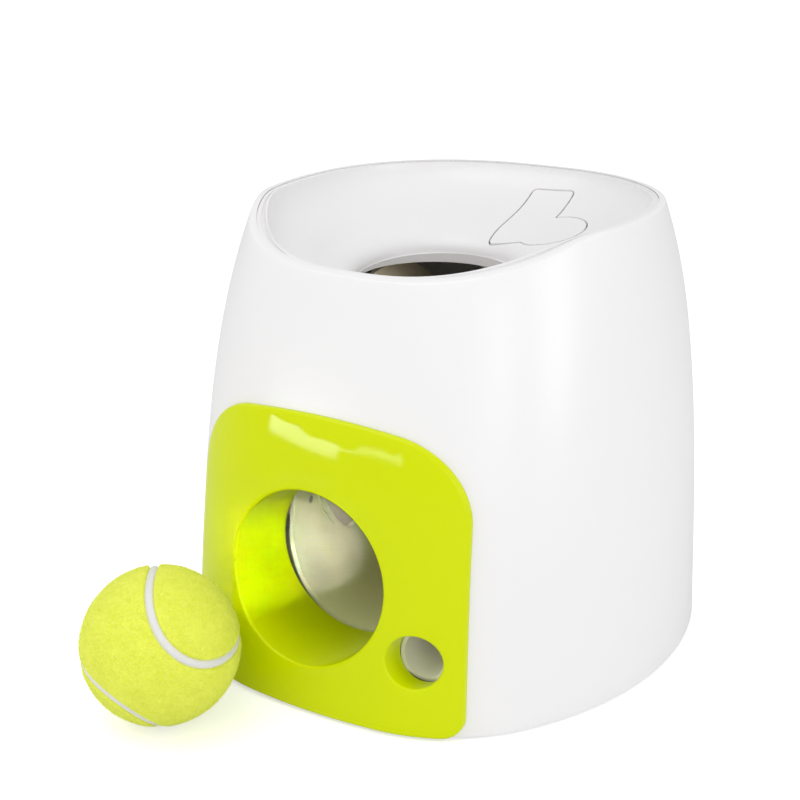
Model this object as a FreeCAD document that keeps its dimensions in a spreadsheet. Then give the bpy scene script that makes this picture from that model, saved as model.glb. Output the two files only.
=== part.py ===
import FreeCAD, Part
import math
import os
import Sketcher
from FreeCAD import Placement, Rotation, Vector

# A gravity-fed ball and treat machine for dogs. A ball dropped into the bowl turns a four-vane
# wheel and rolls out of the front, and the same axle lets one pocket of treats fall.
# Frame: +Z up, the front faces -Y, +X to the right, origin on the floor under the housing.

doc = FreeCAD.newDocument("ball_launcher")

DRIVING_SIZES = {
    # housing
    "body_height": 198.4,
    "base_gap": 1.2,
    "wall": 2.8,
    "rim_round": 1.2,
    "half_width_base": 114.0,
    "half_width_low": 110.0,
    "half_width_high": 108.5,
    "half_width_rim": 88.0,
    "extra_depth": 9.0,
    "corner_radius": 77.0,
    "front_bow": 250.0,
    "side_bow": 150.0,
    "rim_shift": 3.0,
    "dip_start": 38.0,
    "dip_angle": 17.3,
    "dip_blend": 70.0,
    "fit_gap": 0.2,
    "seat_gap": 0.1,
    # front panel with the two exits
    "panel_proud": 2.5,
    "panel_height": 127.2,
    "panel_x": -4.9,
    "panel_half_base": 70.4,
    "panel_lean": 2.0,
    "panel_corner": 36.0,
    "panel_top_bow": 260.0,
    "panel_foot_corner": 8.0,
    "panel_edge_round": 1.5,
    "hole_lip_round": 1.2,
    "exit_x": -6.5,
    "exit_height": 58.5,
    "exit_diameter": 75.0,
    "exit_lean": 6.7,
    "collar_wall": 3.0,
    "collar_end": 77.0,
    "treat_x": 45.0,
    "treat_height": 33.5,
    "treat_diameter": 22.6,
    "treat_collar_wall": 2.4,
    "treat_collar_depth": 10.0,
    # screws
    "screw_diameter": 3.5,
    "screw_head": 7.4,
    "screw_head_height": 2.2,
    "thread_gap": 0.05,
    "screw_bite": 12.0,
    "chute_screw_bite": 10.0,
    "panel_screw_bite": 4.0,
    "hopper_screw_bite": 6.0,
    "pilot_spare": 2.0,
    "pin_diameter": 7.6,
    "pin_stand": 3.0,
    "boss_diameter": 11.0,
    # bowl
    "bowl_wall": 2.6,
    "rim_step": 0.6,
    "skirt_wall": 1.8,
    "skirt_depth": 24.4,
    "lug_depth": 7.0,
    "lug_width": 4.0,
    "lug_length": 40.0,
    "inlet_x": -5.0,
    "inlet_y": -10.0,
    "inlet_diameter": 72.0,
    "throat_wall": 2.4,
    "throat_drop": 37.4,
    "brow_drop": 8.4,
    "brow_half": 78.0,
    "brow_back": 79.0,
    "slope_drop": 15.4,
    "slope_half": 69.0,
    "slope_back": 66.0,
    "floor_drop": 22.4,
    "floor_half": 56.0,
    "floor_front": 66.0,
    "floor_back": 47.0,
    "lip_drop": 27.4,
    "lip_round": 8.0,
    "pit_tilt": 4.0,
    "lid_left": 1.0,
    "lid_right": 23.0,
    "lid_front": 28.5,
    "lid_back": 77.5,
    "lobe_x": 28.0,
    "lobe_y": 41.0,
    "lobe_radius": 16.0,
    "lid_corner": 2.5,
    "lid_gap": 0.4,
    "ledge": 2.0,
    # base
    "plate_thickness": 4.0,
    "foot_inset_x": 56.0,
    "foot_inset_y": 37.0,
    "foot_diameter": 19.6,
    "foot_recess": 1.5,
    "base_screw_inset_x": 40.0,
    "base_screw_inset_y": 43.0,
    "boss_height": 36.8,
    "web_thickness": 3.0,
    # ball chute and wheel
    "ball_diameter": 67.0,
    "channel_half_width": 36.0,
    "chute_wall": 2.5,
    "chute_front": 76.6,
    "chute_back": 90.0,
    "chute_floor": 16.8,
    "chute_slope": 3.0,
    "chute_setback": 8.0,
    "chute_rise": 20.0,
    "chute_front_rise": 6.0,
    "chute_back_drop": 18.0,
    "chute_top_front": 20.0,
    "chute_top_back": 54.0,
    "window_limit": 20.7,
    "saddle_front": -50.0,
    "saddle_back": 60.0,
    "saddle_screw_x": 26.0,
    "saddle_width": 5.0,
    "axle_y": 12.0,
    "axle_lift": 8.9,
    "axle_diameter": 6.0,
    "vane_step": 11.3,
    "vane_thickness": 3.0,
    "vane_half_width": 34.0,
    "hub_diameter": 18.0,
    "right_disc_radius": 38.0,
    "wheel_clearance": 1.7,
    "disc_thickness": 2.4,
    "ring_width": 3.0,
    "ring_height": 1.2,
    "wheel_rest": 18.0,
    "run_gap": 0.7,
    "bracket_thickness": 3.0,
    "bracket_stand": 4.0,
    "bracket_front": -58.0,
    "bracket_back": 82.0,
    "bracket_drop": 28.0,
    "bracket_arm": 12.0,
    "bracket_end": 8.0,
    "bush_diameter": 10.0,
    "bush_flange": 14.0,
    "bush_flange_thickness": 1.5,
    "clip_stand": 1.6,
    "clip_groove": 1.0,
    "clip_reach": 2.4,
    "clip_grip": 0.5,
    "axle_end": 4.0,
    # treat side
    "drum_radius": 24.0,
    "drum_width": 23.0,
    "drum_gap": 1.5,
    "pocket_radius": 8.5,
    "pocket_length": 17.0,
    "housing_wall": 2.6,
    "housing_gap": 0.6,
    "neck_front": 4.0,
    "neck_back": 20.0,
    "neck_left": 36.0,
    "neck_right": 54.0,
    "hopper_wall": 2.0,
    "hopper_left": -4.0,
    "hopper_front": 32.6,
    "hopper_back": 80.0,
    "hopper_seat": 6.0,
    "hopper_depth": 18.0,
    "hopper_rise": 13.0,
    "neck_rise": 29.0,
    "neck_slant": 15.0,
    "ear_thickness": 3.0,
    "ear_margin": 4.0,
    "wiper_thickness": 1.5,
    "wiper_length": 10.0,
    "hopper_ear_y": 56.0,
    "tube_bore": 18.6,
    "tube_wall": 1.8,
    "tube_slope": 14.0,
    "tube_bend": 60.0,
    "socket_wall": 1.5,
    "socket_depth": 8.0,
    # loose ball in front of the machine
    "ball_x": -52.0,
    "ball_y": -156.0,
    "felt_thickness": 4.0,
    "core_wall": 3.4,
}


class Size:
    """A length that keeps both its value and the sheet expression it comes from."""

    def __init__(self, value, text):
        self.value = value
        self.text = text

    def __add__(self, other):
        other = size(other)
        return Size(self.value + other.value, f"({self.text} + {other.text})")

    def __sub__(self, other):
        other = size(other)
        return Size(self.value - other.value, f"({self.text} - {other.text})")

    def __mul__(self, other):
        other = size(other)
        return Size(self.value * other.value, f"({self.text} * {other.text})")

    def __truediv__(self, other):
        other = size(other)
        return Size(self.value / other.value, f"({self.text} / {other.text})")

    def __neg__(self):
        return Size(-self.value, f"(0 - {self.text})")

    __radd__ = __add__
    __rmul__ = __mul__

    def __rsub__(self, other):
        return size(other) - self


def size(thing):
    if isinstance(thing, Size):
        return thing
    return Size(float(thing), f"({float(thing)})")


def root(thing):
    return Size(math.sqrt(thing.value), f"sqrt({thing.text})")


def sine(degrees):
    degrees = size(degrees)
    return Size(math.sin(math.radians(degrees.value)), f"sin({degrees.text})")


def cosine(degrees):
    degrees = size(degrees)
    return Size(math.cos(math.radians(degrees.value)), f"cos({degrees.text})")


def fill_sheet():
    """The driving sizes go into one sheet, a plain number and an alias in each row."""
    sheet = doc.addObject("Spreadsheet::Sheet", "Sizes")
    for row, (alias, number) in enumerate(DRIVING_SIZES.items(), start=1):
        sheet.set(f"A{row}", alias)
        sheet.set(f"B{row}", str(number))
        sheet.setAlias(f"B{row}", alias)
    doc.recompute()
    return {alias: Size(number, f"Sizes.{alias}") for alias, number in DRIVING_SIZES.items()}


def named(alias, length):
    """Keeps a derived size in a cell of its own, so that the sums made from it stay short."""
    row = len(DRIVING_SIZES) + len(DERIVED) + 1
    DERIVED.append(alias)
    sheet = doc.getObject("Sizes")
    sheet.set(f"A{row}", alias)
    sheet.set(f"B{row}", "=" + length.text.replace("Sizes.", ""))
    sheet.setAlias(f"B{row}", alias)
    return Size(length.value, f"Sizes.{alias}")


S = fill_sheet()
DERIVED = []
SAME_PLACE = 0.005


def bind(thing, prop, length):
    """Sets a property from a size, so that it follows the sheet."""
    thing.setExpression(prop, size(length).text)


def place(thing, x=0, y=0, z=0):
    bind(thing, ".Placement.Base.x", x)
    bind(thing, ".Placement.Base.y", y)
    bind(thing, ".Placement.Base.z", z)


# ---------------------------------------------------------------- sketches


def new_body(name):
    body = doc.addObject("PartDesign::Body", name)
    body.Label = name
    return body


def new_sketch(body, name, plane, offset=0, shift=(0, 0), tilt=0):
    """A sketch on one of the body's own origin planes, moved along its normal and in its plane."""
    sketch = body.newObject("Sketcher::SketchObject", name)
    base = [part for part in body.Origin.OriginFeatures if part.Role == plane][0]
    sketch.AttachmentSupport = [(base, "")]
    sketch.MapMode = "FlatFace"
    sketch.AttachmentOffset = Placement(Vector(0, 0, 0), Rotation(Vector(1, 0, 0), size(tilt).value))
    bind(sketch, ".AttachmentOffset.Base.x", shift[0])
    bind(sketch, ".AttachmentOffset.Base.y", shift[1])
    bind(sketch, ".AttachmentOffset.Base.z", offset)
    if size(tilt).value:
        bind(sketch, ".AttachmentOffset.Rotation.Angle", tilt)
    return sketch


def fix(sketch, kind, *where, length):
    """A dimension of the sketch that is bound to a size."""
    number = sketch.addConstraint(Sketcher.Constraint(kind, *where, size(length).value))
    sketch.setExpression(f"Constraints[{number}]", size(length).text)


def pin_point(sketch, edge, end, x, y):
    """Holds one point of the sketch at x and y."""
    for kind, axis, where in (("DistanceX", -2, x), ("DistanceY", -1, y)):
        if size(where).value == 0:
            sketch.addConstraint(Sketcher.Constraint("PointOnObject", edge, end, axis))
        else:
            fix(sketch, kind, edge, end, length=where)


def add_circle(sketch, x, y, radius):
    centre = Vector(size(x).value, size(y).value, 0)
    edge = sketch.addGeometry(Part.Circle(centre, Vector(0, 0, 1), size(radius).value))
    fix(sketch, "Radius", edge, length=radius)
    pin_point(sketch, edge, 3, x, y)


def arc_between(start, end, radius, turn):
    """The arc from start to end; turn is 1 for one that bends left and -1 for right."""
    chord = end - start
    middle = (start + end) / 2
    rise = math.sqrt(max(radius * radius - chord.Length ** 2 / 4, 0))
    side = Vector(-chord.y, chord.x, 0).normalize()
    centre = middle + side * rise * turn
    bulge = centre - side * radius * turn
    return Part.Arc(start, bulge, end) if turn > 0 else Part.Arc(end, bulge, start)


def add_outline(sketch, *corners):
    """A closed outline. A corner is (x, y), or (x, y, radius) where an arc leads to it: a radius
    over zero bends left, under zero right. The arc is the short one."""
    points = [Vector(size(corner[0]).value, size(corner[1]).value, 0) for corner in corners]
    edges = []
    for index, corner in enumerate(corners):
        start = points[index - 1]
        end = points[index]
        if len(corner) == 2:
            edges.append(sketch.addGeometry(Part.LineSegment(start, end)))
            continue
        radius = size(corner[2])
        turn = 1 if radius.value > 0 else -1
        arc = arc_between(start, end, abs(radius.value), turn)
        edges.append(sketch.addGeometry(arc))
    ends = [edge_ends(sketch, edge, points[index - 1]) for index, edge in enumerate(edges)]
    for index, corner in enumerate(corners):
        first, last = ends[index]
        sketch.addConstraint(Sketcher.Constraint("Coincident", edges[index - 1], ends[index - 1][1],
                                               edges[index], first))
        pin_point(sketch, edges[index], last, corner[0], corner[1])
        if len(corner) == 3:
            radius = size(corner[2])
            fix(sketch, "Radius", edges[index], length=radius if radius.value > 0 else -radius)


def edge_ends(sketch, edge, start):
    """Which end of an edge, 1 or 2, lies at start, and which is the other."""
    shape = sketch.Geometry[edge]
    near = (shape.StartPoint - start).Length
    far = (shape.EndPoint - start).Length
    return (1, 2) if near <= far else (2, 1)


def rectangle(sketch, left, right, low, high):
    add_outline(sketch, (left, low), (right, low), (right, high), (left, high))


def round_rectangle(sketch, left, right, low, high, corner):
    add_outline(sketch, (left + corner, low, corner), (right - corner, low),
                (right, low + corner, corner), (right, high - corner),
                (right - corner, high, corner), (left + corner, high),
                (left, high - corner, corner), (left, low + corner))


# ---------------------------------------------------------------- solids


def pad(body, sketch, length, name):
    feature = body.newObject("PartDesign::Pad", name)
    feature.Profile = sketch
    bind(feature, "Length", length)
    return feature


def prism(name, plane, start, end, draw):
    """A body that is one padded sketch between two places along the plane's normal. The normal of
    the XZ plane points to -Y, so there the sketch lies at the far end."""
    body = new_body(name)
    offset = -size(end) if plane == "XZ_Plane" else start
    sketch = new_sketch(body, name + "_outline", plane, offset)
    draw(sketch)
    pad(body, sketch, size(end) - start, name + "_pad")
    return body


def cylinder(name, radius, axis, start, end, first, second):
    """A cylinder along an axis from start to end; first and second are its other coordinates,
    in the order X, Y, Z."""
    turns = {"X": (Vector(0, 1, 0), 90), "Y": (Vector(1, 0, 0), -90), "Z": (Vector(0, 0, 1), 0)}
    rod = doc.addObject("Part::Cylinder", name)
    bind(rod, "Radius", radius)
    bind(rod, "Height", size(end) - start)
    rod.Placement = Placement(Vector(0, 0, 0), Rotation(*turns[axis]))
    where = {"X": (start, first, second), "Y": (first, start, second), "Z": (first, second, start)}
    place(rod, *where[axis])
    return rod


def box(name, left, right, front, back, low, high):
    block = doc.addObject("Part::Box", name)
    bind(block, "Length", size(right) - left)
    bind(block, "Width", size(back) - front)
    bind(block, "Height", size(high) - low)
    place(block, left, front, low)
    return block


def cut(name, base, *tools):
    """The base less the tools."""
    result = doc.addObject("Part::Cut", name)
    result.Label = name
    result.Base = base
    result.Tool = tools[0] if len(tools) == 1 else join(name + "_tools", *tools)
    return result


def join(name, *parts):
    result = doc.addObject("Part::MultiFuse", name)
    result.Label = name
    result.Shapes = list(parts)
    return result


def common(name, *parts):
    result = doc.addObject("Part::MultiCommon", name)
    result.Label = name
    result.Shapes = list(parts)
    return result


def group(name, *parts):
    """Several alike pieces in one node."""
    result = doc.addObject("Part::Compound", name)
    result.Label = name
    result.Links = list(parts)
    return result


def ring(name, outer, inner, axis, start, end, first, second):
    solid = cylinder(name + "_solid", outer, axis, start, end, first, second)
    bore = cylinder(name + "_bore", inner, axis, size(start) - 1, size(end) + 1, first, second)
    return cut(name, solid, bore)


def edges_between(thing, first, second):
    """The edges of a shape whose middles lie on the surfaces of two forms."""

    def touches(form, point):
        inside = form.Shape.isInside(point, SAME_PLACE, True)
        return inside and not form.Shape.isInside(point, SAME_PLACE, False)

    numbers = []
    for number, edge in enumerate(thing.Shape.Edges, start=1):
        middle = edge.valueAt((edge.FirstParameter + edge.LastParameter) / 2)
        if touches(first, middle) and touches(second, middle):
            numbers.append(number)
    return numbers


def round_edges(name, base, *groups):
    """Rounds edges of the base: each group is a radius and the edges' numbers."""
    result = doc.addObject("Part::Fillet", name)
    result.Label = name
    result.Base = base
    result.Edges = [(number, radius.value, radius.value) for radius, numbers in groups
                    for number in numbers]
    return result


# ---------------------------------------------------------------- the housing's form


def half_width(height):
    """Half the housing's width at a height: a cubic curve from the base to the rim."""
    up = size(height) / S["body_height"]
    down = 1 - up
    base = S["half_width_base"] * down * down * down
    low = S["half_width_low"] * down * down * up * 3
    high = S["half_width_high"] * down * up * up * 3
    rim = S["half_width_rim"] * up * up * up
    return base + low + high + rim


def half_depth(height):
    return half_width(height) + S["extra_depth"] * (1 - size(height) / S["body_height"])


def section_shift(height):
    return S["rim_shift"] * height / S["body_height"]


def corner_centre(width, depth, corner, front_bow, side_bow):
    """The centre of a bowed square's corner arc, which touches the front bow and the side bow."""
    to_front = front_bow - corner
    to_side = side_bow - corner
    across = width - side_bow
    along = front_bow - depth
    span = root(across * across + along * along)
    reach = (to_front * to_front - to_side * to_side + span * span) / (span * 2)
    rise = root(to_front * to_front - reach * reach)
    return (across * reach + along * rise) / span, (along * reach - across * rise) / span - along


def face_line(name, height):
    """The housing's front at one height: a function that gives its place for any x."""
    width = named(name + "_width", half_width(height))
    depth = named(name + "_depth", half_depth(height))
    centre_x, centre_y = corner_centre(width, depth, S["corner_radius"], S["front_bow"], S["side_bow"])
    centre_x = named(name + "_corner_x", centre_x)
    centre_y = named(name + "_corner_y", centre_y)
    shift = section_shift(height)
    joint = centre_x * S["front_bow"] / (S["front_bow"] - S["corner_radius"])

    def place_at(x):
        x = size(x)
        if abs(x.value) < joint.value:
            return shift - depth + S["front_bow"] - root(S["front_bow"] * S["front_bow"] - x * x)
        side = (x if x.value > 0 else -x) - centre_x
        return shift - centre_y - root(S["corner_radius"] * S["corner_radius"] - side * side)

    return place_at


def draw_bowed_square(sketch, width, depth, corner, front_bow, side_bow):
    """A rounded square of half width and half depth with bowed sides: four side arcs that meet
    four corner arcs smoothly. The sketch keeps the arcs tangent."""
    width, depth, corner, front_bow, side_bow = map(size, (width, depth, corner, front_bow, side_bow))
    back_centre = Vector(0, depth.value - front_bow.value, 0)
    side_centre = Vector(width.value - side_bow.value, 0, 0)
    centre_x, centre_y = corner_centre(width, depth, corner, front_bow, side_bow)
    centre = Vector(centre_x.value, centre_y.value, 0)
    side_joint = side_centre + (centre - side_centre).normalize() * side_bow.value
    back_joint = back_centre + (centre - back_centre).normalize() * front_bow.value
    corner_middle = centre + (side_joint + back_joint - centre * 2).normalize() * corner.value
    trio = (side_joint, corner_middle, back_joint)
    quarters = []
    for flip_x, flip_y in ((1, 1), (-1, 1), (-1, -1), (1, -1)):
        turned = [Vector(point.x * flip_x, point.y * flip_y, 0) for point in trio]
        quarters.append(turned if flip_x * flip_y > 0 else turned[::-1])
    middles = (Vector(0, depth.value, 0), Vector(-width.value, 0, 0), Vector(0, -depth.value, 0),
               Vector(width.value, 0, 0))
    edges = []
    for index, (first, middle, last) in enumerate(quarters):
        edges.append(sketch.addGeometry(Part.Arc(first, middle, last)))
        following = quarters[(index + 1) % 4][0]
        edges.append(sketch.addGeometry(Part.Arc(last, middles[index], following)))
    for index, edge in enumerate(edges):
        sketch.addConstraint(Sketcher.Constraint("Tangent", edge, 2, edges[(index + 1) % 8], 1))
    for edge in edges[::2]:
        fix(sketch, "Radius", edge, length=corner)
    for edge, sign in ((edges[1], 1), (edges[5], -1)):
        fix(sketch, "Radius", edge, length=front_bow)
        pin_point(sketch, edge, 3, 0, (depth - front_bow) * sign)
    for edge, sign in ((edges[3], -1), (edges[7], 1)):
        fix(sketch, "Radius", edge, length=side_bow)
        pin_point(sketch, edge, 3, (width - side_bow) * sign, 0)


def housing_form(name, inset, bottom, top, steps=4):
    """A solid of the housing's form, smaller all round by the inset, between two heights."""
    body = new_body(name)
    sketches = []
    for step in range(steps + 1):
        height = size(bottom) + (size(top) - bottom) * (step / steps)
        sketch = new_sketch(body, f"{name}_section_{step}", "XY_Plane", height,
                            shift=(0, section_shift(height)))
        draw_bowed_square(sketch, half_width(height) - inset, half_depth(height) - inset,
                          S["corner_radius"] - inset, S["front_bow"] - inset, S["side_bow"] - inset)
        sketches.append(sketch)
    loft = body.newObject("PartDesign::AdditiveLoft", name + "_loft")
    loft.Profile = sketches[0]
    loft.Sections = sketches[1:]
    return body


def rim_cutter(name, drop):
    """Everything above the rim: level at the back and sides, sloping down at the front, with a
    round blend where the slope begins."""
    reach = size(160)
    level = S["body_height"] - drop
    half_turn = S["dip_angle"] / 2
    run = S["dip_blend"] * sine(half_turn) / cosine(half_turn)
    slope = sine(S["dip_angle"]) / cosine(S["dip_angle"])
    slope_end = -S["dip_start"] - run * cosine(S["dip_angle"])

    def draw(sketch):
        add_outline(
            sketch,
            (-reach, level - slope * (reach - S["dip_start"])),
            (slope_end, level - run * sine(S["dip_angle"])),
            (run - S["dip_start"], level, -S["dip_blend"]),
            (reach, level),
            (reach, level + 40),
            (-reach, level + 40),
        )

    return prism(name, "YZ_Plane", -reach, reach, draw)


def lean_cylinder(name, radius, x, face, height, depth_end):
    """A cylinder square to the leaning front, from well before the face in to a depth. Its axis
    meets the face at x and height."""
    before = 25
    lean = S["exit_lean"]
    rod = doc.addObject("Part::Cylinder", name)
    bind(rod, "Radius", radius)
    bind(rod, "Height", (size(depth_end) - face) / cosine(lean) + before)
    rod.Placement = Placement(Vector(0, 0, 0), Rotation(Vector(-1, 0, 0), 90 + lean.value))
    bind(rod, ".Placement.Rotation.Angle", lean + 90)
    place(rod, x, face - before * cosine(lean), height + before * sine(lean))
    return rod


def screw(name, axis, sign, seat, tip, first, second, head=None):
    """A plain pan screw: the head sits at the seat and the shank runs to the tip. The sign gives
    the way from the head to the tip."""
    head = head or S["screw_head"]
    back = size(seat) - S["screw_head_height"] * sign
    low, high = (back, seat) if sign > 0 else (seat, back)
    cap = cylinder(name + "_head", head / 2, axis, low, high, first, second)
    low, high = (seat, tip) if sign > 0 else (tip, seat)
    shank = cylinder(name + "_shank", S["screw_diameter"] / 2, axis, low, high, first, second)
    return join(name, cap, shank)


# ---------------------------------------------------------------- places shared by several pieces

PILOT = S["screw_diameter"] / 2 + S["thread_gap"]
PASSAGE = S["screw_diameter"] / 2 + S["fit_gap"]
PLATE_TOP = S["base_gap"] + S["plate_thickness"]
OUTSIDE = named("outside", S["half_width_base"] + S["extra_depth"] + 10)
SKIRT_BOTTOM = S["body_height"] - S["skirt_depth"]
BROW = S["body_height"] - S["brow_drop"]
SLOPE = S["body_height"] - S["slope_drop"]
FLOOR = S["body_height"] - S["floor_drop"]
LIP = S["body_height"] - S["lip_drop"]
THROAT_BOTTOM = named("throat_bottom", S["body_height"] - S["throat_drop"])
HOPPER_TOP = named("hopper_top", THROAT_BOTTOM + S["hopper_seat"])
AXLE_Z = named("axle_z", (PLATE_TOP + THROAT_BOTTOM) / 2 + S["axle_lift"])
DISC_RADIUS = named("disc_radius", THROAT_BOTTOM - AXLE_Z - S["wheel_clearance"])
VANE_REACH = DISC_RADIUS - S["vane_step"]
WINDOW_RADIUS = DISC_RADIUS + S["run_gap"]
CHUTE_TOP = named("chute_top", AXLE_Z + S["chute_rise"])
CHUTE_BACK_TOP = AXLE_Z - S["chute_back_drop"]
BRACKET_FOOT = AXLE_Z - S["bracket_drop"]
NECK_TOP = named("neck_top", AXLE_Z + S["neck_rise"])
BOSS_TOP = PLATE_TOP + S["boss_height"]
CHANNEL_LEFT = S["exit_x"] - S["channel_half_width"]
CHANNEL_RIGHT = S["exit_x"] + S["channel_half_width"]
CHUTE_LEFT = CHANNEL_LEFT - S["chute_wall"]
CHUTE_RIGHT = CHANNEL_RIGHT + S["chute_wall"]
HALF_BASE = S["half_width_base"]
HALF_BASE_DEPTH = HALF_BASE + S["extra_depth"]
CORNERS = [(across, deep) for across in (-1, 1) for deep in (-1, 1)]
BASE_SCREWS = [((HALF_BASE - S["base_screw_inset_x"]) * across,
                (HALF_BASE_DEPTH - S["base_screw_inset_y"]) * deep) for across, deep in CORNERS]
FEET = [((HALF_BASE - S["foot_inset_x"]) * across, (HALF_BASE_DEPTH - S["foot_inset_y"]) * deep)
        for across, deep in CORNERS]
SADDLE_SCREWS = [(S["exit_x"] + S["saddle_screw_x"] * across, along)
                 for across in (-1, 1) for along in (S["saddle_front"], S["saddle_back"])]
PANEL_PINS = [(-50, 16), (-46, 106), (44, 106), (52, 72)]
HOPPER_EARS = [S["hopper_left"] - S["hopper_wall"] - S["boss_diameter"] / 2,
               S["neck_right"] + S["hopper_wall"] + S["boss_diameter"] / 2]
DISC_LEFT = CHANNEL_LEFT - S["disc_thickness"] - S["seat_gap"]
DISC_RIGHT = CHANNEL_RIGHT - S["run_gap"]
BRACKET_INNER = CHUTE_LEFT - S["bracket_stand"]
BRACKET_OUTER = BRACKET_INNER - S["bracket_thickness"]
DRUM_LEFT = CHUTE_RIGHT + S["drum_gap"]
DRUM_RIGHT = DRUM_LEFT + S["drum_width"]
DRUM_ROOM = S["drum_radius"] + S["housing_gap"]
HOUSING_RADIUS = DRUM_ROOM + S["housing_wall"]
HOUSING_RIGHT = DRUM_RIGHT + S["run_gap"] + S["housing_wall"]
BUSH_SEATS = [(BRACKET_OUTER, BRACKET_INNER), (DRUM_RIGHT + S["run_gap"], HOUSING_RIGHT)]
CLIPS = [BRACKET_OUTER - S["clip_stand"], HOUSING_RIGHT + S["bush_flange_thickness"] + S["seat_gap"] * 5]
EAR_REACH = HOUSING_RADIUS + S["ear_margin"]
HOUSING_EARS = [(S["axle_y"] - EAR_REACH, AXLE_Z), (S["axle_y"] + EAR_REACH, AXLE_Z),
                (S["axle_y"], AXLE_Z - EAR_REACH)]
TUBE_RADIUS = S["tube_bore"] / 2 + S["tube_wall"]


EXIT_FACE = face_line("exit_line", S["exit_height"])(S["exit_x"])
TREAT_FACE = face_line("treat_line", S["treat_height"])(S["treat_x"])
TREAT_COLLAR_END = TREAT_FACE - S["panel_proud"] + S["treat_collar_depth"]
PIN_FACES = [face_line(f"pin_line_{number}", height)(x)
             for number, (x, height) in enumerate(PANEL_PINS)]
PIN_ENDS = [face + S["wall"] + S["pin_stand"] for face in PIN_FACES]


# ---------------------------------------------------------------- housing


def make_outer_shell():
    blank = housing_form("shell_blank", 0, S["base_gap"], S["body_height"] + 1)
    hollow = housing_form("shell_hollow", S["wall"], S["base_gap"] - 1, S["body_height"] + 2)
    solid_inside = []
    for number, (x, y) in enumerate(BASE_SCREWS):
        radius = S["boss_diameter"] / 2
        solid_inside.append(cylinder(f"boss_{number}", radius, "Z", PLATE_TOP, BOSS_TOP, x, y))
        solid_inside.append(boss_web(number, x, y))
    lug_foot = SKIRT_BOTTOM - S["lug_length"]
    bars = join(
        "lug_bars",
        box("lug_bar_x", -OUTSIDE, OUTSIDE, -S["lug_width"] / 2, S["lug_width"] / 2, lug_foot,
            SKIRT_BOTTOM),
        box("lug_bar_y", -S["lug_width"] / 2, S["lug_width"] / 2, -OUTSIDE, OUTSIDE, lug_foot,
            SKIRT_BOTTOM),
    )
    inner = housing_form("lug_core", S["wall"] + S["lug_depth"], lug_foot - 1, SKIRT_BOTTOM + 1,
                         steps=2)
    solid_inside.append(cut("lugs", bars, inner))
    cavity = cut("shell_cavity", hollow, *solid_inside)
    rim = rim_cutter("shell_rim_cut", 0)
    openings = [
        rim,
        lean_cylinder("shell_exit_hole", S["exit_diameter"] / 2 + S["collar_wall"] + S["fit_gap"],
                      S["exit_x"], EXIT_FACE, S["exit_height"], -S["collar_end"]),
        lean_cylinder("shell_treat_hole",
                      S["treat_diameter"] / 2 + S["treat_collar_wall"] + S["fit_gap"],
                      S["treat_x"], TREAT_FACE, S["treat_height"], -S["collar_end"]),
    ]
    for number, (x, height) in enumerate(PANEL_PINS):
        openings.append(cylinder(f"shell_pin_hole_{number}", S["pin_diameter"] / 2 + S["fit_gap"], "Y",
                                 PIN_FACES[number] - 10, PIN_ENDS[number] + 10, x, height))
    for number, (x, y) in enumerate(BASE_SCREWS):
        openings.append(cylinder(f"shell_screw_hole_{number}", PILOT, "Z", PLATE_TOP - 1,
                                 PLATE_TOP + S["screw_bite"] + S["pilot_spare"], x, y))
    shell = cut("shell_body", blank, cavity, *openings)
    doc.recompute()
    return round_edges("outer_shell", shell, (S["rim_round"], edges_between(shell, blank, rim)))


def boss_web(number, x, y):
    """A thin web from a corner boss out to the side wall."""
    half = S["web_thickness"] / 2
    wall = OUTSIDE if x.value > 0 else -OUTSIDE
    left, right = (x, wall) if x.value > 0 else (wall, x)
    return box(f"boss_web_{number}", left, right, y - half, y + half, PLATE_TOP, BOSS_TOP)


def make_base_plate():
    blank = housing_form("base_blank", S["wall"] + S["fit_gap"], S["base_gap"], PLATE_TOP, steps=1)
    holes = []
    for number, (x, y) in enumerate(BASE_SCREWS + SADDLE_SCREWS):
        radius = S["screw_head"] / 2 + S["fit_gap"]
        holes.append(cylinder(f"plate_hole_{number}", PASSAGE, "Z", 0, PLATE_TOP + 1, x, y))
        holes.append(cylinder(f"plate_recess_{number}", radius, "Z", 0,
                              S["base_gap"] + S["screw_head_height"] - S["seat_gap"], x, y))
    for number, (x, y) in enumerate(FEET):
        holes.append(cylinder(f"foot_recess_{number}", S["foot_diameter"] / 2 + S["fit_gap"], "Z",
                              0, S["base_gap"] + S["foot_recess"], x, y))
    return cut("base_plate", blank, *holes)


def make_rubber_feet():
    pads = [cylinder(f"foot_{number}", S["foot_diameter"] / 2, "Z", 0,
                     S["base_gap"] + S["foot_recess"], x, y) for number, (x, y) in enumerate(FEET)]
    return group("rubber_feet", *pads)


def make_base_screws():
    seat = S["base_gap"] + S["screw_head_height"] - S["seat_gap"]
    tip = PLATE_TOP + S["screw_bite"]
    return group("base_screws", *[screw(f"base_screw_{number}", "Z", 1, seat, tip, x, y)
                                  for number, (x, y) in enumerate(BASE_SCREWS)])


# ---------------------------------------------------------------- front panel


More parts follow.
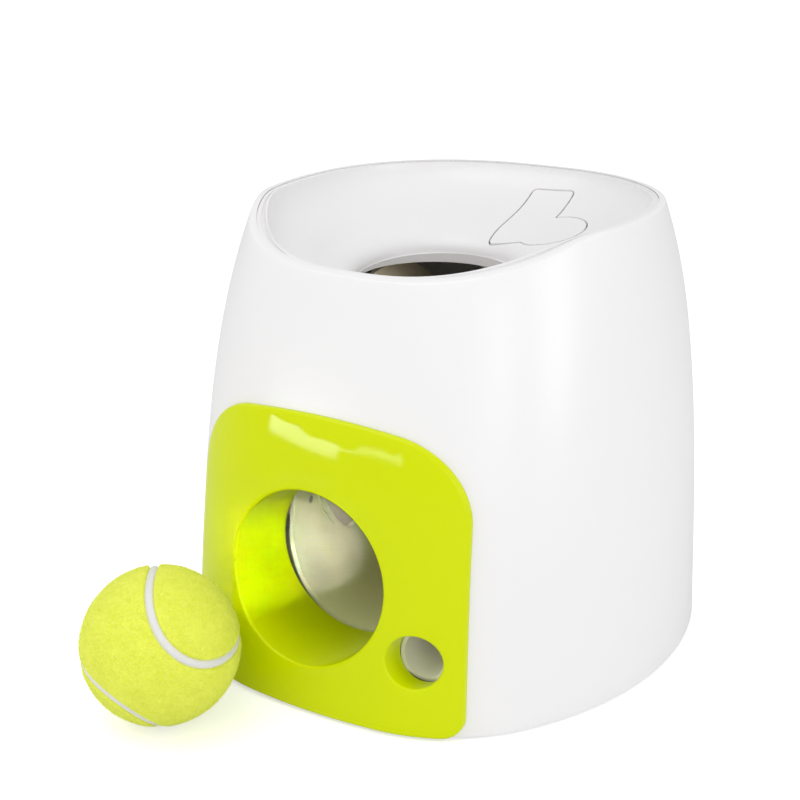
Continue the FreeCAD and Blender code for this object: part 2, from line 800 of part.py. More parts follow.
def draw_panel_outline(sketch):
    """Sides that lean in, round shoulders that touch the sides and the bowed top edge smoothly,
    and small round foot corners."""
    foot = S["panel_foot_corner"]
    low = S["base_gap"]
    corner = S["panel_corner"]
    bow = S["panel_top_bow"]
    across = cosine(S["panel_lean"])
    up = sine(S["panel_lean"])
    bow_centre = S["panel_height"] - bow
    reach = S["panel_half_base"] * across - corner
    along = root((bow - corner) * (bow - corner) - (reach - bow_centre * up) * (reach - bow_centre * up))
    rise = bow_centre * across + along
    corner_x = reach * across - rise * up
    corner_z = reach * up + rise * across
    side_x = corner_x + corner * across
    side_z = corner_z + corner * up
    top_x = corner_x * bow / (bow - corner)
    top_z = bow_centre + (corner_z - bow_centre) * bow / (bow - corner)
    foot_x = S["panel_half_base"] - foot * up / across
    middle = S["panel_x"]
    add_outline(
        sketch,
        (middle + foot_x - foot, low),
        (middle + foot_x, low + foot, foot),
        (middle + side_x, side_z),
        (middle + top_x, top_z, corner),
        (middle - top_x, top_z, bow),
        (middle - side_x, side_z, corner),
        (middle - foot_x, low + foot),
        (middle - foot_x + foot, low, foot),
    )


def make_front_panel():
    low = S["base_gap"] - 1
    high = S["panel_height"] + 4
    outer = housing_form("panel_outer", -S["panel_proud"], low, high)
    inner = housing_form("panel_inner", -S["seat_gap"], low - 1, high + 1)
    outline = prism("panel_outline", "XZ_Plane", -OUTSIDE, -S["collar_end"] / 2, draw_panel_outline)
    plate = common("panel_plate", cut("panel_slab", outer, inner), outline)
    behind = box("collar_room", -OUTSIDE, OUTSIDE, -OUTSIDE, -S["collar_end"], 0, S["panel_height"])
    exit_radius = S["exit_diameter"] / 2
    treat_radius = S["treat_diameter"] / 2
    exit_collar = common("exit_collar", outer, behind,
                         lean_cylinder("exit_collar_rod", exit_radius + S["collar_wall"],
                                       S["exit_x"], EXIT_FACE, S["exit_height"],
                                       -S["collar_end"] * 0.8))
    treat_collar = common("treat_collar", outer,
                          lean_cylinder("treat_collar_rod", treat_radius + S["treat_collar_wall"],
                                        S["treat_x"], TREAT_FACE, S["treat_height"], TREAT_COLLAR_END))
    pins = []
    exit_bore = lean_cylinder("exit_bore", exit_radius, S["exit_x"], EXIT_FACE, S["exit_height"],
                              -S["collar_end"] * 0.8)
    treat_bore = lean_cylinder("treat_bore", treat_radius, S["treat_x"], TREAT_FACE,
                               S["treat_height"], TREAT_COLLAR_END + S["treat_collar_depth"])
    bores = [exit_bore, treat_bore]
    for number, (x, height) in enumerate(PANEL_PINS):
        pins.append(common(f"panel_pin_{number}", outer,
                           cylinder(f"panel_pin_rod_{number}", S["pin_diameter"] / 2, "Y",
                                    PIN_FACES[number] - 5, PIN_ENDS[number], x, height)))
        bores.append(cylinder(f"panel_pin_bore_{number}", PILOT, "Y",
                              PIN_FACES[number] + 1, PIN_ENDS[number] + 1, x, height))
    whole = join("panel_whole", plate, exit_collar, treat_collar, *pins)
    panel = cut("panel_body", whole, *bores)
    doc.recompute()
    lips = edges_between(panel, outer, exit_bore) + edges_between(panel, outer, treat_bore)
    return round_edges("front_panel", panel, (S["hole_lip_round"], lips),
                       (S["panel_edge_round"], edges_between(panel, outer, outline)))


def make_panel_screws():
    screws = []
    for number, (x, height) in enumerate(PANEL_PINS):
        seat = PIN_ENDS[number] + S["seat_gap"]
        screws.append(screw(f"panel_screw_{number}", "Y", -1, seat, seat - S["panel_screw_bite"],
                            x, height, head=S["boss_diameter"]))
    return group("panel_screws", *screws)


# ---------------------------------------------------------------- bowl and lid


def bowl_form(name, drop, grow):
    """The hollow of the bowl, from above the rim down to the ball inlet, lowered by the drop and
    wider by the growth. It keeps close to the front wall, so that the slopes meet at the inlet."""
    clear = S["wall"] + S["fit_gap"] + S["skirt_wall"] + S["seat_gap"]
    lip = S["inlet_diameter"] / 2
    body = new_body(name)
    sketches = []

    def section(height, half, front, back, corner, bow, toward_inlet, tilt, side_bow=None):
        sketch = new_sketch(body, f"{name}_section_{len(sketches)}", "XY_Plane", height - drop,
                            shift=(S["inlet_x"] * toward_inlet, (size(back) - front) / 2), tilt=tilt)
        draw_bowed_square(sketch, half + grow, (size(back) + front) / 2 + grow, corner + grow,
                          bow + grow, (side_bow or bow) + grow)
        sketches.append(sketch)

    def wall_front(height):
        return half_depth(height) - clear - section_shift(height)

    top = S["body_height"] + 3
    rim_back = half_depth(top) - clear + section_shift(top)
    section(top, half_width(top) - clear, wall_front(top), rim_back, S["corner_radius"] - clear,
            S["front_bow"] - clear, 0, 0, side_bow=S["side_bow"] - clear)
    section(BROW, S["brow_half"], wall_front(BROW), S["brow_back"], size(66),
            size(180), 0, 0)
    section(SLOPE, S["slope_half"], wall_front(SLOPE), S["slope_back"],
            size(60), size(150), 0.1, 0)
    section(FLOOR, S["floor_half"], S["floor_front"], S["floor_back"], size(50), size(90),
            0.5, S["pit_tilt"] / 2)
    for height, extra in ((LIP, S["lip_round"]), (LIP - 3.5, size(2.5)),
                          (LIP - 8, size(0.3))):
        half = lip + extra
        section(height, half, half - S["inlet_y"], half + S["inlet_y"], half - 1.5, half + 6, 1,
                S["pit_tilt"])
    loft = body.newObject("PartDesign::AdditiveLoft", name + "_loft")
    loft.Profile = sketches[0]
    loft.Sections = sketches[1:]
    return body


def lid_outline(name, grow, low, high):
    """The lid seen from above, a long plate with a round finger lobe at its side, as a prism."""

    def draw(sketch):
        round_rectangle(sketch, S["lid_left"] - grow, S["lid_right"] + grow, S["lid_front"] - grow,
                        S["lid_back"] + grow, S["lid_corner"] + grow)

    plate = prism(name + "_plate", "XY_Plane", low, high, draw)
    lobe = cylinder(name + "_lobe", S["lobe_radius"] + grow, "Z", low, high, S["lobe_x"], S["lobe_y"])
    return join(name, plate, lobe)


def make_top_bowl(hollow, under):
    high = S["body_height"] + 5
    inset = S["wall"] + S["fit_gap"]
    core = housing_form("bowl_core", inset, THROAT_BOTTOM, S["body_height"] + 2)
    band = housing_form("bowl_band", inset, SKIRT_BOTTOM + S["seat_gap"], S["body_height"] + 2)
    band_inner = housing_form("bowl_band_inner", inset + S["skirt_wall"], SKIRT_BOTTOM - 1,
                              S["body_height"] + 3)
    skin = common("bowl_skin", core, cut("bowl_layer", under, hollow))
    collar = lid_outline("lid_collar", S["ledge"], HOPPER_TOP + S["seat_gap"], BROW)
    throat = cylinder("throat_rod", S["inlet_diameter"] / 2 + S["throat_wall"], "Z",
                      THROAT_BOTTOM, FLOOR, S["inlet_x"], S["inlet_y"])
    bosses = []
    bores = []
    for number, x in enumerate(HOPPER_EARS):
        y = S["hopper_ear_y"]
        seat = HOPPER_TOP + S["seat_gap"]
        bosses.append(cylinder(f"hopper_boss_{number}", S["boss_diameter"] / 2, "Z", seat,
                               BROW, x, y))
        bores.append(cylinder(f"hopper_boss_bore_{number}", PILOT, "Z", seat - 1,
                              HOPPER_TOP + S["hopper_screw_bite"] + S["pilot_spare"], x, y))
    whole = join("bowl_whole", skin, cut("bowl_skirt", band, band_inner), collar, throat, *bosses)
    inlet = cylinder("inlet_bore", S["inlet_diameter"] / 2, "Z", THROAT_BOTTOM - 1, high,
                     S["inlet_x"], S["inlet_y"])
    seat_form = bowl_form("lid_seat_form", S["bowl_wall"] + S["seat_gap"], 1.2 + S["seat_gap"])
    seat = common("lid_seat", lid_outline("lid_room", S["lid_gap"], HOPPER_TOP - 1, high),
                  seat_form)
    funnel = lid_outline("lid_funnel", -S["ledge"], HOPPER_TOP - 2, high)
    return cut("top_bowl", whole, hollow, inlet, seat, funnel,
               rim_cutter("bowl_rim_cut", S["rim_step"]), *bores)


def make_hopper_lid(hollow, under):
    outline = lid_outline("lid_outline", -S["lid_gap"], HOPPER_TOP - 1, S["body_height"] + 5)
    return common("hopper_lid", cut("lid_layer", under, hollow), outline)


# ---------------------------------------------------------------- treat hopper and treat drum


def make_treat_hopper():
    wall = S["hopper_wall"]
    top = HOPPER_TOP
    above = top + 5
    left = S["hopper_left"]
    front = S["hopper_front"]
    back = S["hopper_back"]
    step = top - S["hopper_depth"]
    rise = step + S["hopper_rise"]
    neck_roof = NECK_TOP + S["neck_slant"]

    def draw_wide(thick, ceiling):
        def draw(sketch):
            add_outline(sketch, (left - thick, ceiling), (left - thick, rise - thick),
                        (S["neck_left"] + 1, step - thick), (S["neck_left"] + 1, ceiling))
        return draw

    def draw_deep(thick, ceiling, foot):
        def draw(sketch):
            add_outline(sketch, (back + thick, ceiling), (front - thick, ceiling),
                        (front - thick, step + thick), (S["neck_front"] - thick, neck_roof + thick),
                        (S["neck_front"] - thick, foot), (S["neck_back"] + thick, foot),
                        (S["neck_back"] + thick, NECK_TOP + 2 - thick),
                        (back + thick, step - thick))
        return draw

    foot = NECK_TOP + S["seat_gap"]
    wide = prism("hopper_wide", "XZ_Plane", front - wall, back + wall, draw_wide(wall, top))
    deep = prism("hopper_deep", "YZ_Plane", S["neck_left"] - wall, S["neck_right"] + wall,
                 draw_deep(wall, top, foot))
    wide_room = prism("hopper_wide_room", "XZ_Plane", front, back, draw_wide(size(0), above))
    deep_room = prism("hopper_deep_room", "YZ_Plane", S["neck_left"], S["neck_right"],
                      draw_deep(size(0), above, foot - 1))
    ears = []
    holes = []
    ear_radius = S["boss_diameter"] / 2
    for number, (x, inner) in enumerate(zip(HOPPER_EARS, (left - 1, S["neck_right"] + 1))):
        low = top - S["ear_thickness"]
        y = S["hopper_ear_y"]
        near, far = (x, inner) if x.value < inner.value else (inner, x)
        ears.append(box(f"hopper_ear_{number}", near, far, y - ear_radius, y + ear_radius, low, top))
        ears.append(cylinder(f"hopper_ear_round_{number}", ear_radius, "Z", low, top, x, y))
        holes.append(cylinder(f"hopper_ear_hole_{number}", PASSAGE, "Z", low - 1, top + 1, x, y))
    whole = join("hopper_whole", wide, deep, *ears)
    return cut("treat_hopper", whole, wide_room, deep_room, *holes)


def make_hopper_screws():
    seat = HOPPER_TOP - S["ear_thickness"] - S["seat_gap"]
    tip = HOPPER_TOP + S["hopper_screw_bite"]
    return group("hopper_screws", *[screw(f"hopper_screw_{number}", "Z", 1, seat, tip, x,
                                          S["hopper_ear_y"]) for number, x in enumerate(HOPPER_EARS)])


def make_treat_drum():
    """A drum with four round scoops. One faces the hopper's neck at rest."""
    y = S["axle_y"]
    z = AXLE_Z
    barrel = cylinder("drum_barrel", S["drum_radius"], "X", DRUM_LEFT, DRUM_RIGHT, y, z)
    start = S["treat_x"] - S["pocket_length"] / 2
    end = S["treat_x"] + S["pocket_length"] / 2
    reach = S["drum_radius"]
    scoops = [cylinder(f"drum_scoop_{number}", S["pocket_radius"], "X", start, end,
                       y + reach * across, z + reach * up)
              for number, (across, up) in enumerate(((0, 1), (-1, 0), (0, -1), (1, 0)))]
    bore = cylinder("drum_bore", S["axle_diameter"] / 2 + S["thread_gap"], "X", DRUM_LEFT - 1,
                    DRUM_RIGHT + 1, y, z)
    return cut("treat_drum", barrel, bore, *scoops)


def slant_cylinder(name, radius, start, end):
    """A cylinder from the axle down to the front at 45 degrees, in the middle of the treat way."""
    rod = doc.addObject("Part::Cylinder", name)
    bind(rod, "Radius", radius)
    bind(rod, "Height", size(end) - start)
    rod.Placement = Placement(Vector(0, 0, 0), Rotation(Vector(1, 0, 0), 135))
    place(rod, S["treat_x"], S["axle_y"] - start * sine(45), AXLE_Z - start * cosine(45))
    return rod


def make_drum_housing():
    y = S["axle_y"]
    z = AXLE_Z
    left = CHUTE_RIGHT + S["seat_gap"]
    wall = S["hopper_wall"]
    drum = cylinder("housing_drum", HOUSING_RADIUS, "X", left, HOUSING_RIGHT, y, z)
    neck = box("housing_neck", S["neck_left"] - wall, S["neck_right"] + wall, S["neck_front"] - wall,
               S["neck_back"] + wall, z, NECK_TOP)
    socket_end = HOUSING_RADIUS + S["socket_depth"]
    socket = slant_cylinder("housing_socket", TUBE_RADIUS + S["fit_gap"] + S["socket_wall"],
                            S["drum_radius"] - 8, socket_end)
    ears = []
    tools = [
        cylinder("housing_room", DRUM_ROOM, "X", left - 1, DRUM_RIGHT + S["run_gap"], y, z),
        box("housing_neck_room", S["neck_left"], S["neck_right"], S["neck_front"], S["neck_back"],
            z, NECK_TOP + 1),
        slant_cylinder("housing_port", S["tube_bore"] / 2, 0, socket_end + 1),
        slant_cylinder("housing_socket_room", TUBE_RADIUS + S["fit_gap"], HOUSING_RADIUS + 1,
                       socket_end + 2),
        cylinder("housing_bush_hole", S["bush_diameter"] / 2 + S["thread_gap"], "X", DRUM_RIGHT,
                 HOUSING_RIGHT + 1, y, z),
    ]
    for number, (ear_y, ear_z) in enumerate(HOUSING_EARS):
        ears.append(cylinder(f"housing_ear_{number}", S["boss_diameter"] / 2, "X", left,
                             left + S["ear_thickness"], ear_y, ear_z))
        tools.append(cylinder(f"housing_ear_hole_{number}", PASSAGE, "X", left - 1,
                              left + S["ear_thickness"] + 1, ear_y, ear_z))
    return cut("drum_housing", join("housing_whole", drum, neck, socket, *ears), *tools)


def make_housing_screws():
    seat = CHUTE_RIGHT + S["ear_thickness"] + S["seat_gap"] * 2
    return group("housing_screws", *[screw(f"housing_screw_{number}", "X", -1, seat,
                                           CHANNEL_RIGHT + 0.3, y, z)
                                     for number, (y, z) in enumerate(HOUSING_EARS)])


def make_drum_wiper():
    """A rubber strip that levels the scoop and stops treats from jamming."""
    gap = S["seat_gap"]
    back = S["neck_back"] - gap
    low = AXLE_Z + S["drum_radius"] - gap
    return box("drum_wiper", S["neck_left"] + gap, S["neck_right"] - gap,
               back - S["wiper_thickness"], back, low, low + S["wiper_length"])


def make_treat_chute():
    """A bent tube from the drum's port down to the small exit."""
    end_y = TREAT_COLLAR_END + S["fit_gap"]
    end_z = S["treat_height"] - 1
    start_reach = HOUSING_RADIUS + 1 + S["seat_gap"]
    start_y = S["axle_y"] - start_reach * sine(45)
    start_z = AXLE_Z - start_reach * cosine(45)
    rise = sine(S["tube_slope"])
    run = cosine(S["tube_slope"])
    back = ((start_y - end_y) - (start_z - end_z)) / (run - rise)
    knee_y = end_y + back * run
    knee_z = end_z + back * rise
    half_turn = (45 - S["tube_slope"]) / 2
    tangent = S["tube_bend"] * sine(half_turn) / cosine(half_turn)
    tube = []
    for name, radius, extra in (("tube_outer", TUBE_RADIUS, 0), ("tube_inner", S["tube_bore"] / 2, 1)):
        body = new_body(name)
        place(body, S["treat_x"], 0, 0)
        spine = new_sketch(body, name + "_spine", "YZ_Plane")
        points = [
            (start_y + extra * sine(45), start_z + extra * cosine(45)),
            (knee_y + tangent * sine(45), knee_z + tangent * cosine(45)),
            (knee_y - tangent * run, knee_z - tangent * rise),
            (end_y - (extra + 3) * run, end_z - (extra + 3) * rise),
        ]
        add_path(spine, S["tube_bend"], *points)
        profile = new_sketch(body, name + "_profile", "XZ_Plane", 0)
        profile.AttachmentOffset = Placement(Vector(0, 0, 0), Rotation(Vector(1, 0, 0), 45))
        bind(profile, ".AttachmentOffset.Base.y", points[0][1])
        bind(profile, ".AttachmentOffset.Base.z", -points[0][0])
        add_circle(profile, 0, 0, radius)
        sweep = body.newObject("PartDesign::AdditivePipe", name + "_sweep")
        sweep.Profile = profile
        sweep.Spine = spine
        tube.append(body)
    front = lean_cylinder("tube_front_cut", 40, S["treat_x"], TREAT_FACE, S["treat_height"], end_y)
    return cut("treat_chute", tube[0], tube[1], front)


def add_path(sketch, bend, *points):
    """An open path: a straight, a bend to the right and a straight."""
    spots = [Vector(size(y).value, size(z).value, 0) for y, z in points]
    first = sketch.addGeometry(Part.LineSegment(spots[0], spots[1]))
    bow = sketch.addGeometry(arc_between(spots[1], spots[2], bend.value, -1))
    last = sketch.addGeometry(Part.LineSegment(spots[2], spots[3]))
    sketch.addConstraint(Sketcher.Constraint("Coincident", first, 2, bow, 2))
    sketch.addConstraint(Sketcher.Constraint("Coincident", bow, 1, last, 1))
    pin_point(sketch, first, 1, *points[0])
    pin_point(sketch, first, 2, *points[1])
    pin_point(sketch, last, 1, *points[2])
    pin_point(sketch, last, 2, *points[3])
    fix(sketch, "Radius", bow, length=bend)


# ---------------------------------------------------------------- ball chute


def tilted_prism(name, start, end, draw):
    """A prism along the chute's sloping floor. Its own zero is the floor's front edge."""
    body = prism(name, "XZ_Plane", start, end, draw)
    body.Placement = Placement(Vector(0, 0, 0), Rotation(Vector(1, 0, 0), S["chute_slope"].value))
    bind(body, ".Placement.Rotation.Angle", S["chute_slope"])
    place(body, S["exit_x"], -S["chute_front"], S["chute_floor"])
    return body


def make_ball_chute():
    half = S["channel_half_width"]
    wall = S["chute_wall"]
    length = S["chute_front"] + S["chute_back"] + 20

    def draw_channel(thick):
        def draw(sketch):
            radius = half + thick
            add_outline(sketch, (-radius, CHUTE_TOP), (-radius, half), (0, -thick, radius),
                        (radius, half, radius), (radius, CHUTE_TOP))
        return draw

    def draw_side(sketch):
        add_outline(sketch, (-S["chute_front"], 0), (S["chute_back"], 0),
                    (S["chute_back"], CHUTE_BACK_TOP),
                    (S["chute_top_back"], CHUTE_TOP), (-S["chute_top_front"], CHUTE_TOP),
                    (S["chute_setback"] - S["chute_front"], AXLE_Z + S["chute_front_rise"]))

    outer = tilted_prism("chute_outer", -10, length, draw_channel(wall))
    inner = tilted_prism("chute_inner", -20, length + 10, draw_channel(size(0)))
    side = prism("chute_side", "YZ_Plane", -OUTSIDE, OUTSIDE, draw_side)
    back_slab = box("chute_back_slab", -OUTSIDE, OUTSIDE, S["chute_back"] - wall, S["chute_back"], 0,
                    CHUTE_BACK_TOP)
    y = S["axle_y"]
    z = AXLE_Z
    radius = WINDOW_RADIUS
    channel = cut("chute_channel", common("chute_solid", outer, side), inner)
    end_wall = common("chute_end_wall", outer, back_slab)
    ring_solid = ring("window_ring", radius + S["ring_width"], radius - 1, "X", CHANNEL_LEFT - 1,
                      CHANNEL_LEFT + S["ring_height"], y, z)
    window_ring = common("chute_ring", ring_solid, side, outer)
    parts = [channel, end_wall, window_ring]
    for number, place_y in enumerate((S["saddle_front"], S["saddle_back"])):
        saddle = box(f"saddle_block_{number}", CHUTE_LEFT + 6, CHUTE_RIGHT - 6,
                     place_y - S["saddle_width"] / 2, place_y + S["saddle_width"] / 2,
                     PLATE_TOP + S["seat_gap"], S["chute_floor"] + half / 2)
        parts.append(cut(f"saddle_{number}", saddle, inner))
    for number, (x, place_y) in enumerate(SADDLE_SCREWS):
        boss = cylinder(f"saddle_boss_rod_{number}", S["boss_diameter"] / 2, "Z",
                        PLATE_TOP + S["seat_gap"], S["chute_floor"] + half / 2, x, place_y)
        parts.append(cut(f"saddle_boss_{number}", boss, inner))
    tools = []
    for number, (x, place_y) in enumerate(SADDLE_SCREWS):
        tools.append(cylinder(f"saddle_bore_{number}", PILOT, "Z", PLATE_TOP,
                              PLATE_TOP + S["chute_screw_bite"] + S["pilot_spare"], x, place_y))

    def draw_limit(sketch):
        rectangle(sketch, -OUTSIDE, -half / 2, S["window_limit"], CHUTE_TOP + 20)

    window = common("chute_window", cylinder("window_rod", radius, "X", CHUTE_LEFT - 10,
                                             CHANNEL_LEFT + 8, y, z),
                    tilted_prism("window_limit", -10, length, draw_limit))
    tools.append(window)
    tools.append(cylinder("chute_axle_hole", 4, "X", CHANNEL_RIGHT - 1, CHUTE_RIGHT + 1, y, z))
    for number, (ear_y, ear_z) in enumerate(HOUSING_EARS):
        tools.append(cylinder(f"chute_ear_bore_{number}", PILOT, "X", CHANNEL_RIGHT - 1,
                              CHUTE_RIGHT + 1, ear_y, ear_z))
    for number, place_y in enumerate((S["bracket_front"], S["bracket_back"])):
        tools.append(cylinder(f"chute_bracket_bore_{number}", PILOT, "X", CHUTE_LEFT - 1,
                              CHANNEL_LEFT + 2, place_y, BRACKET_FOOT))
    return cut("ball_chute", join("chute_whole", *parts), *tools)


def make_chute_screws():
    seat = S["base_gap"] + S["screw_head_height"] - S["seat_gap"]
    tip = PLATE_TOP + S["chute_screw_bite"]
    return group("chute_screws", *[screw(f"chute_screw_{number}", "Z", 1, seat, tip, x, y)
                                   for number, (x, y) in enumerate(SADDLE_SCREWS)])


# ---------------------------------------------------------------- ball wheel and its bearings


def make_ball_wheel():
    y = S["axle_y"]
    z = AXLE_Z
    half = S["vane_half_width"]
    thick = S["vane_thickness"]
    hub = cylinder("wheel_hub", S["hub_diameter"] / 2, "X", DISC_LEFT - 1.2, DISC_RIGHT, y, z)
    left = cylinder("wheel_left_disc", DISC_RADIUS, "X", DISC_LEFT,
                    DISC_LEFT + S["disc_thickness"], y, z)
    right = cylinder("wheel_right_disc", S["right_disc_radius"], "X", DISC_RIGHT - 2, DISC_RIGHT, y, z)
    parts = [hub, left, right]
    straight = VANE_REACH - half

    def draw_vane(sketch):
        add_outline(sketch, (-half, 5), (half, 5), (half, straight),
                    (0, VANE_REACH, half), (-half, straight, half))

    for quarter in range(4):
        turn = S["wheel_rest"] - 90 * quarter
        vane = prism(f"vane_{quarter}", "XZ_Plane", -thick / 2, thick / 2, draw_vane)
        root = box(f"vane_root_{quarter}", 0, DISC_RIGHT - DISC_LEFT - 1, -thick / 2, thick / 2, 5,
                   straight + 8)
        holder = join(f"vane_pair_{quarter}", vane, root)
        vane.Placement = Placement(Vector(0, 0, 0), Rotation(Vector(1, 0, 0), -turn.value))
        bind(vane, ".Placement.Rotation.Angle", -turn)
        place(vane, S["exit_x"], y, z)
        root.Placement = Placement(Vector(0, 0, 0), Rotation(Vector(1, 0, 0), -turn.value))
        bind(root, ".Placement.Rotation.Angle", -turn)
        corner_y = thick / 2
        place(root, DISC_LEFT + 0.5, y - corner_y * cosine(-turn) - 5 * sine(-turn),
              z - corner_y * sine(-turn) + 5 * cosine(-turn))
        parts.append(holder)
    bore = cylinder("wheel_bore", S["axle_diameter"] / 2 + S["thread_gap"], "X", DISC_LEFT - 3,
                    DISC_RIGHT + 1, y, z)
    return cut("ball_wheel", join("wheel_whole", *parts), bore)


def make_axle():
    y = S["axle_y"]
    z = AXLE_Z
    radius = S["axle_diameter"] / 2
    groove = S["clip_groove"]
    end = S["axle_end"]
    rod = cylinder("axle_rod", radius, "X", CLIPS[0] - end, CLIPS[1] + groove + end, y, z)
    grooves = [ring(f"axle_groove_{number}", radius + 1, radius - S["clip_grip"] - S["seat_gap"], "X",
                    x, x + groove, y, z) for number, x in enumerate(CLIPS)]
    return cut("wheel_axle", rod, *grooves)


def make_axle_clips():
    y = S["axle_y"]
    z = AXLE_Z
    gap = S["seat_gap"]
    radius = S["axle_diameter"] / 2
    reach = radius + S["clip_reach"]
    mouth = radius * 0.7
    clips = []
    for number, x in enumerate(CLIPS):
        end = x + S["clip_groove"]
        body = ring(f"clip_ring_{number}", reach, radius - S["clip_grip"], "X", x + gap, end - gap, y, z)
        slot = box(f"clip_mouth_{number}", x, end, y - mouth, y + mouth, z - reach - 1, z)
        clips.append(cut(f"clip_{number}", body, slot))
    return group("axle_clips", *clips)


def make_axle_bushes():
    y = S["axle_y"]
    z = AXLE_Z
    bore = S["axle_diameter"] / 2 + S["thread_gap"]
    bushes = []
    for number, (inner, seat) in enumerate(BUSH_SEATS):
        face = seat + S["seat_gap"]
        end = face + S["bush_flange_thickness"]
        flange = cylinder(f"bush_flange_{number}", S["bush_flange"] / 2, "X", face, end, y, z)
        sleeve = cylinder(f"bush_sleeve_{number}", S["bush_diameter"] / 2, "X", inner, face, y, z)
        hole = cylinder(f"bush_bore_{number}", bore, "X", inner - 1, end + 1, y, z)
        bushes.append(cut(f"bush_{number}", join(f"bush_body_{number}", flange, sleeve), hole))
    return group("axle_bushes", *bushes)


def make_bearing_bracket():
    front = S["bracket_front"]
    back = S["bracket_back"]
    foot = BRACKET_FOOT
    y = S["axle_y"]
    z = AXLE_Z
    arm = S["bracket_arm"]
    end = S["bracket_end"]

    def draw(sketch):
        add_outline(sketch, (front - end, foot - arm / 2), (front + end / 2, foot - arm / 2),
                    (y, z - arm), (back - end / 2, foot - arm / 2), (back + end, foot - arm / 2),
                    (back + end, foot + arm / 2), (y, z + arm), (front - end, foot + arm / 2))

    plate = prism("bracket_plate", "YZ_Plane", BRACKET_OUTER, BRACKET_INNER, draw)
    parts = [plate]
    tools = [cylinder("bracket_bush_hole", S["bush_diameter"] / 2 + S["thread_gap"], "X",
                      BRACKET_OUTER - 1, BRACKET_INNER + 1, y, z)]
    for number, place_y in enumerate((front, back)):
        parts.append(cylinder(f"bracket_stand_{number}", arm / 2 - 1, "X", BRACKET_OUTER,
                              CHUTE_LEFT - S["seat_gap"], place_y, foot))
        tools.append(cylinder(f"bracket_hole_{number}", PASSAGE, "X", BRACKET_OUTER - 1,
                              CHUTE_LEFT + 1, place_y, foot))
    return cut("bearing_bracket", join("bracket_whole", *parts), *tools)


def make_bracket_screws():
    seat = BRACKET_OUTER - S["seat_gap"]
    return group("bracket_screws", *[screw(f"bracket_screw_{number}", "X", 1, seat,
                                           CHANNEL_LEFT - 0.3, place_y, BRACKET_FOOT)
                                     for number, place_y in
                                     enumerate((S["bracket_front"], S["bracket_back"]))])


# ---------------------------------------------------------------- loose ball


def sphere(name, radius):
    ball = doc.addObject("Part::Sphere", name)
    bind(ball, "Radius", radius)
    place(ball, S["ball_x"], S["ball_y"], S["ball_diameter"] / 2)
    return ball


def make_ball():
    outer = S["ball_diameter"] / 2
    inner = outer - S["felt_thickness"]
    felt = cut("tennis_ball_felt", sphere("felt_outer", outer), sphere("felt_inner", inner))
    core = cut("ball_core", sphere("core_outer", inner - S["seat_gap"]),
               sphere("core_inner", inner - S["core_wall"]))
    return felt, core


# ---------------------------------------------------------------- build, check and export

bowl_hollow = bowl_form("bowl_hollow", 0, 0)
bowl_under = bowl_form("bowl_under", S["bowl_wall"], 1.2)
NODES = [
    make_outer_shell(),
    make_base_plate(),
    make_rubber_feet(),
    make_base_screws(),
    make_front_panel(),
    make_panel_screws(),
    make_top_bowl(bowl_hollow, bowl_under),
    make_hopper_lid(bowl_hollow, bowl_under),
    make_treat_hopper(),
    make_hopper_screws(),
    make_treat_drum(),
    make_drum_housing(),
    make_housing_screws(),
    make_drum_wiper(),
    make_treat_chute(),
    make_ball_chute(),
    make_chute_screws(),
    make_ball_wheel(),
    make_axle(),
    make_axle_clips(),
    make_axle_bushes(),
    make_bearing_bracket(),
    make_bracket_screws(),
    *make_ball(),
]
doc.recompute()

faults = []
for thing in doc.Objects:
    if "Invalid" in thing.State or "Error" in thing.State:
        faults.append(f"{thing.Name} {thing.State}")
    shape = getattr(thing, "Shape", None)
    if shape is not None and thing.TypeId != "Sketcher::SketchObject":
        if shape.isNull() or not shape.isValid():
            faults.append(f"{thing.Name} has no valid shape")
if faults:
    raise RuntimeError("; ".join(faults))

os.makedirs("parts", exist_ok=True)
for node in NODES:
    node.Shape.exportStep(f"parts/{node.Label}.step")
    print(node.Label, round(node.Shape.Volume), len(node.Shape.Solids))
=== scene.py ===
import math
import random

import bmesh
import bpy
from mathutils import Euler, Matrix, Vector, noise
from mathutils.bvhtree import BVHTree
from mathutils.kdtree import KDTree


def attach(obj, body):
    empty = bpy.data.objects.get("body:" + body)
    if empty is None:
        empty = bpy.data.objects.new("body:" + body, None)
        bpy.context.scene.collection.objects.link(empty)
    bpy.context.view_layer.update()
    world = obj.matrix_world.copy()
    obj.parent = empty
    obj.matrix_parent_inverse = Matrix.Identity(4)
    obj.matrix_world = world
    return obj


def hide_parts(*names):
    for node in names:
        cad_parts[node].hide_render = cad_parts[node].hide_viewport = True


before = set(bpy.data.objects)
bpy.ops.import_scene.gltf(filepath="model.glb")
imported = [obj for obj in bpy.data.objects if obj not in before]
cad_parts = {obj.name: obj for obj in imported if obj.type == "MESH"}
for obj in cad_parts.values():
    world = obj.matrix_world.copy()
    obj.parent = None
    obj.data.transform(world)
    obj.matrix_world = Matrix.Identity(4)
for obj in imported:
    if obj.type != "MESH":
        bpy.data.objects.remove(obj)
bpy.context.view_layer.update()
bpy.ops.object.select_all(action="DESELECT")

# The camera stands in front and to the right, a little above the machine, and looks slightly
# past it to the left. Its lens is given for a square picture 36 mm wide.

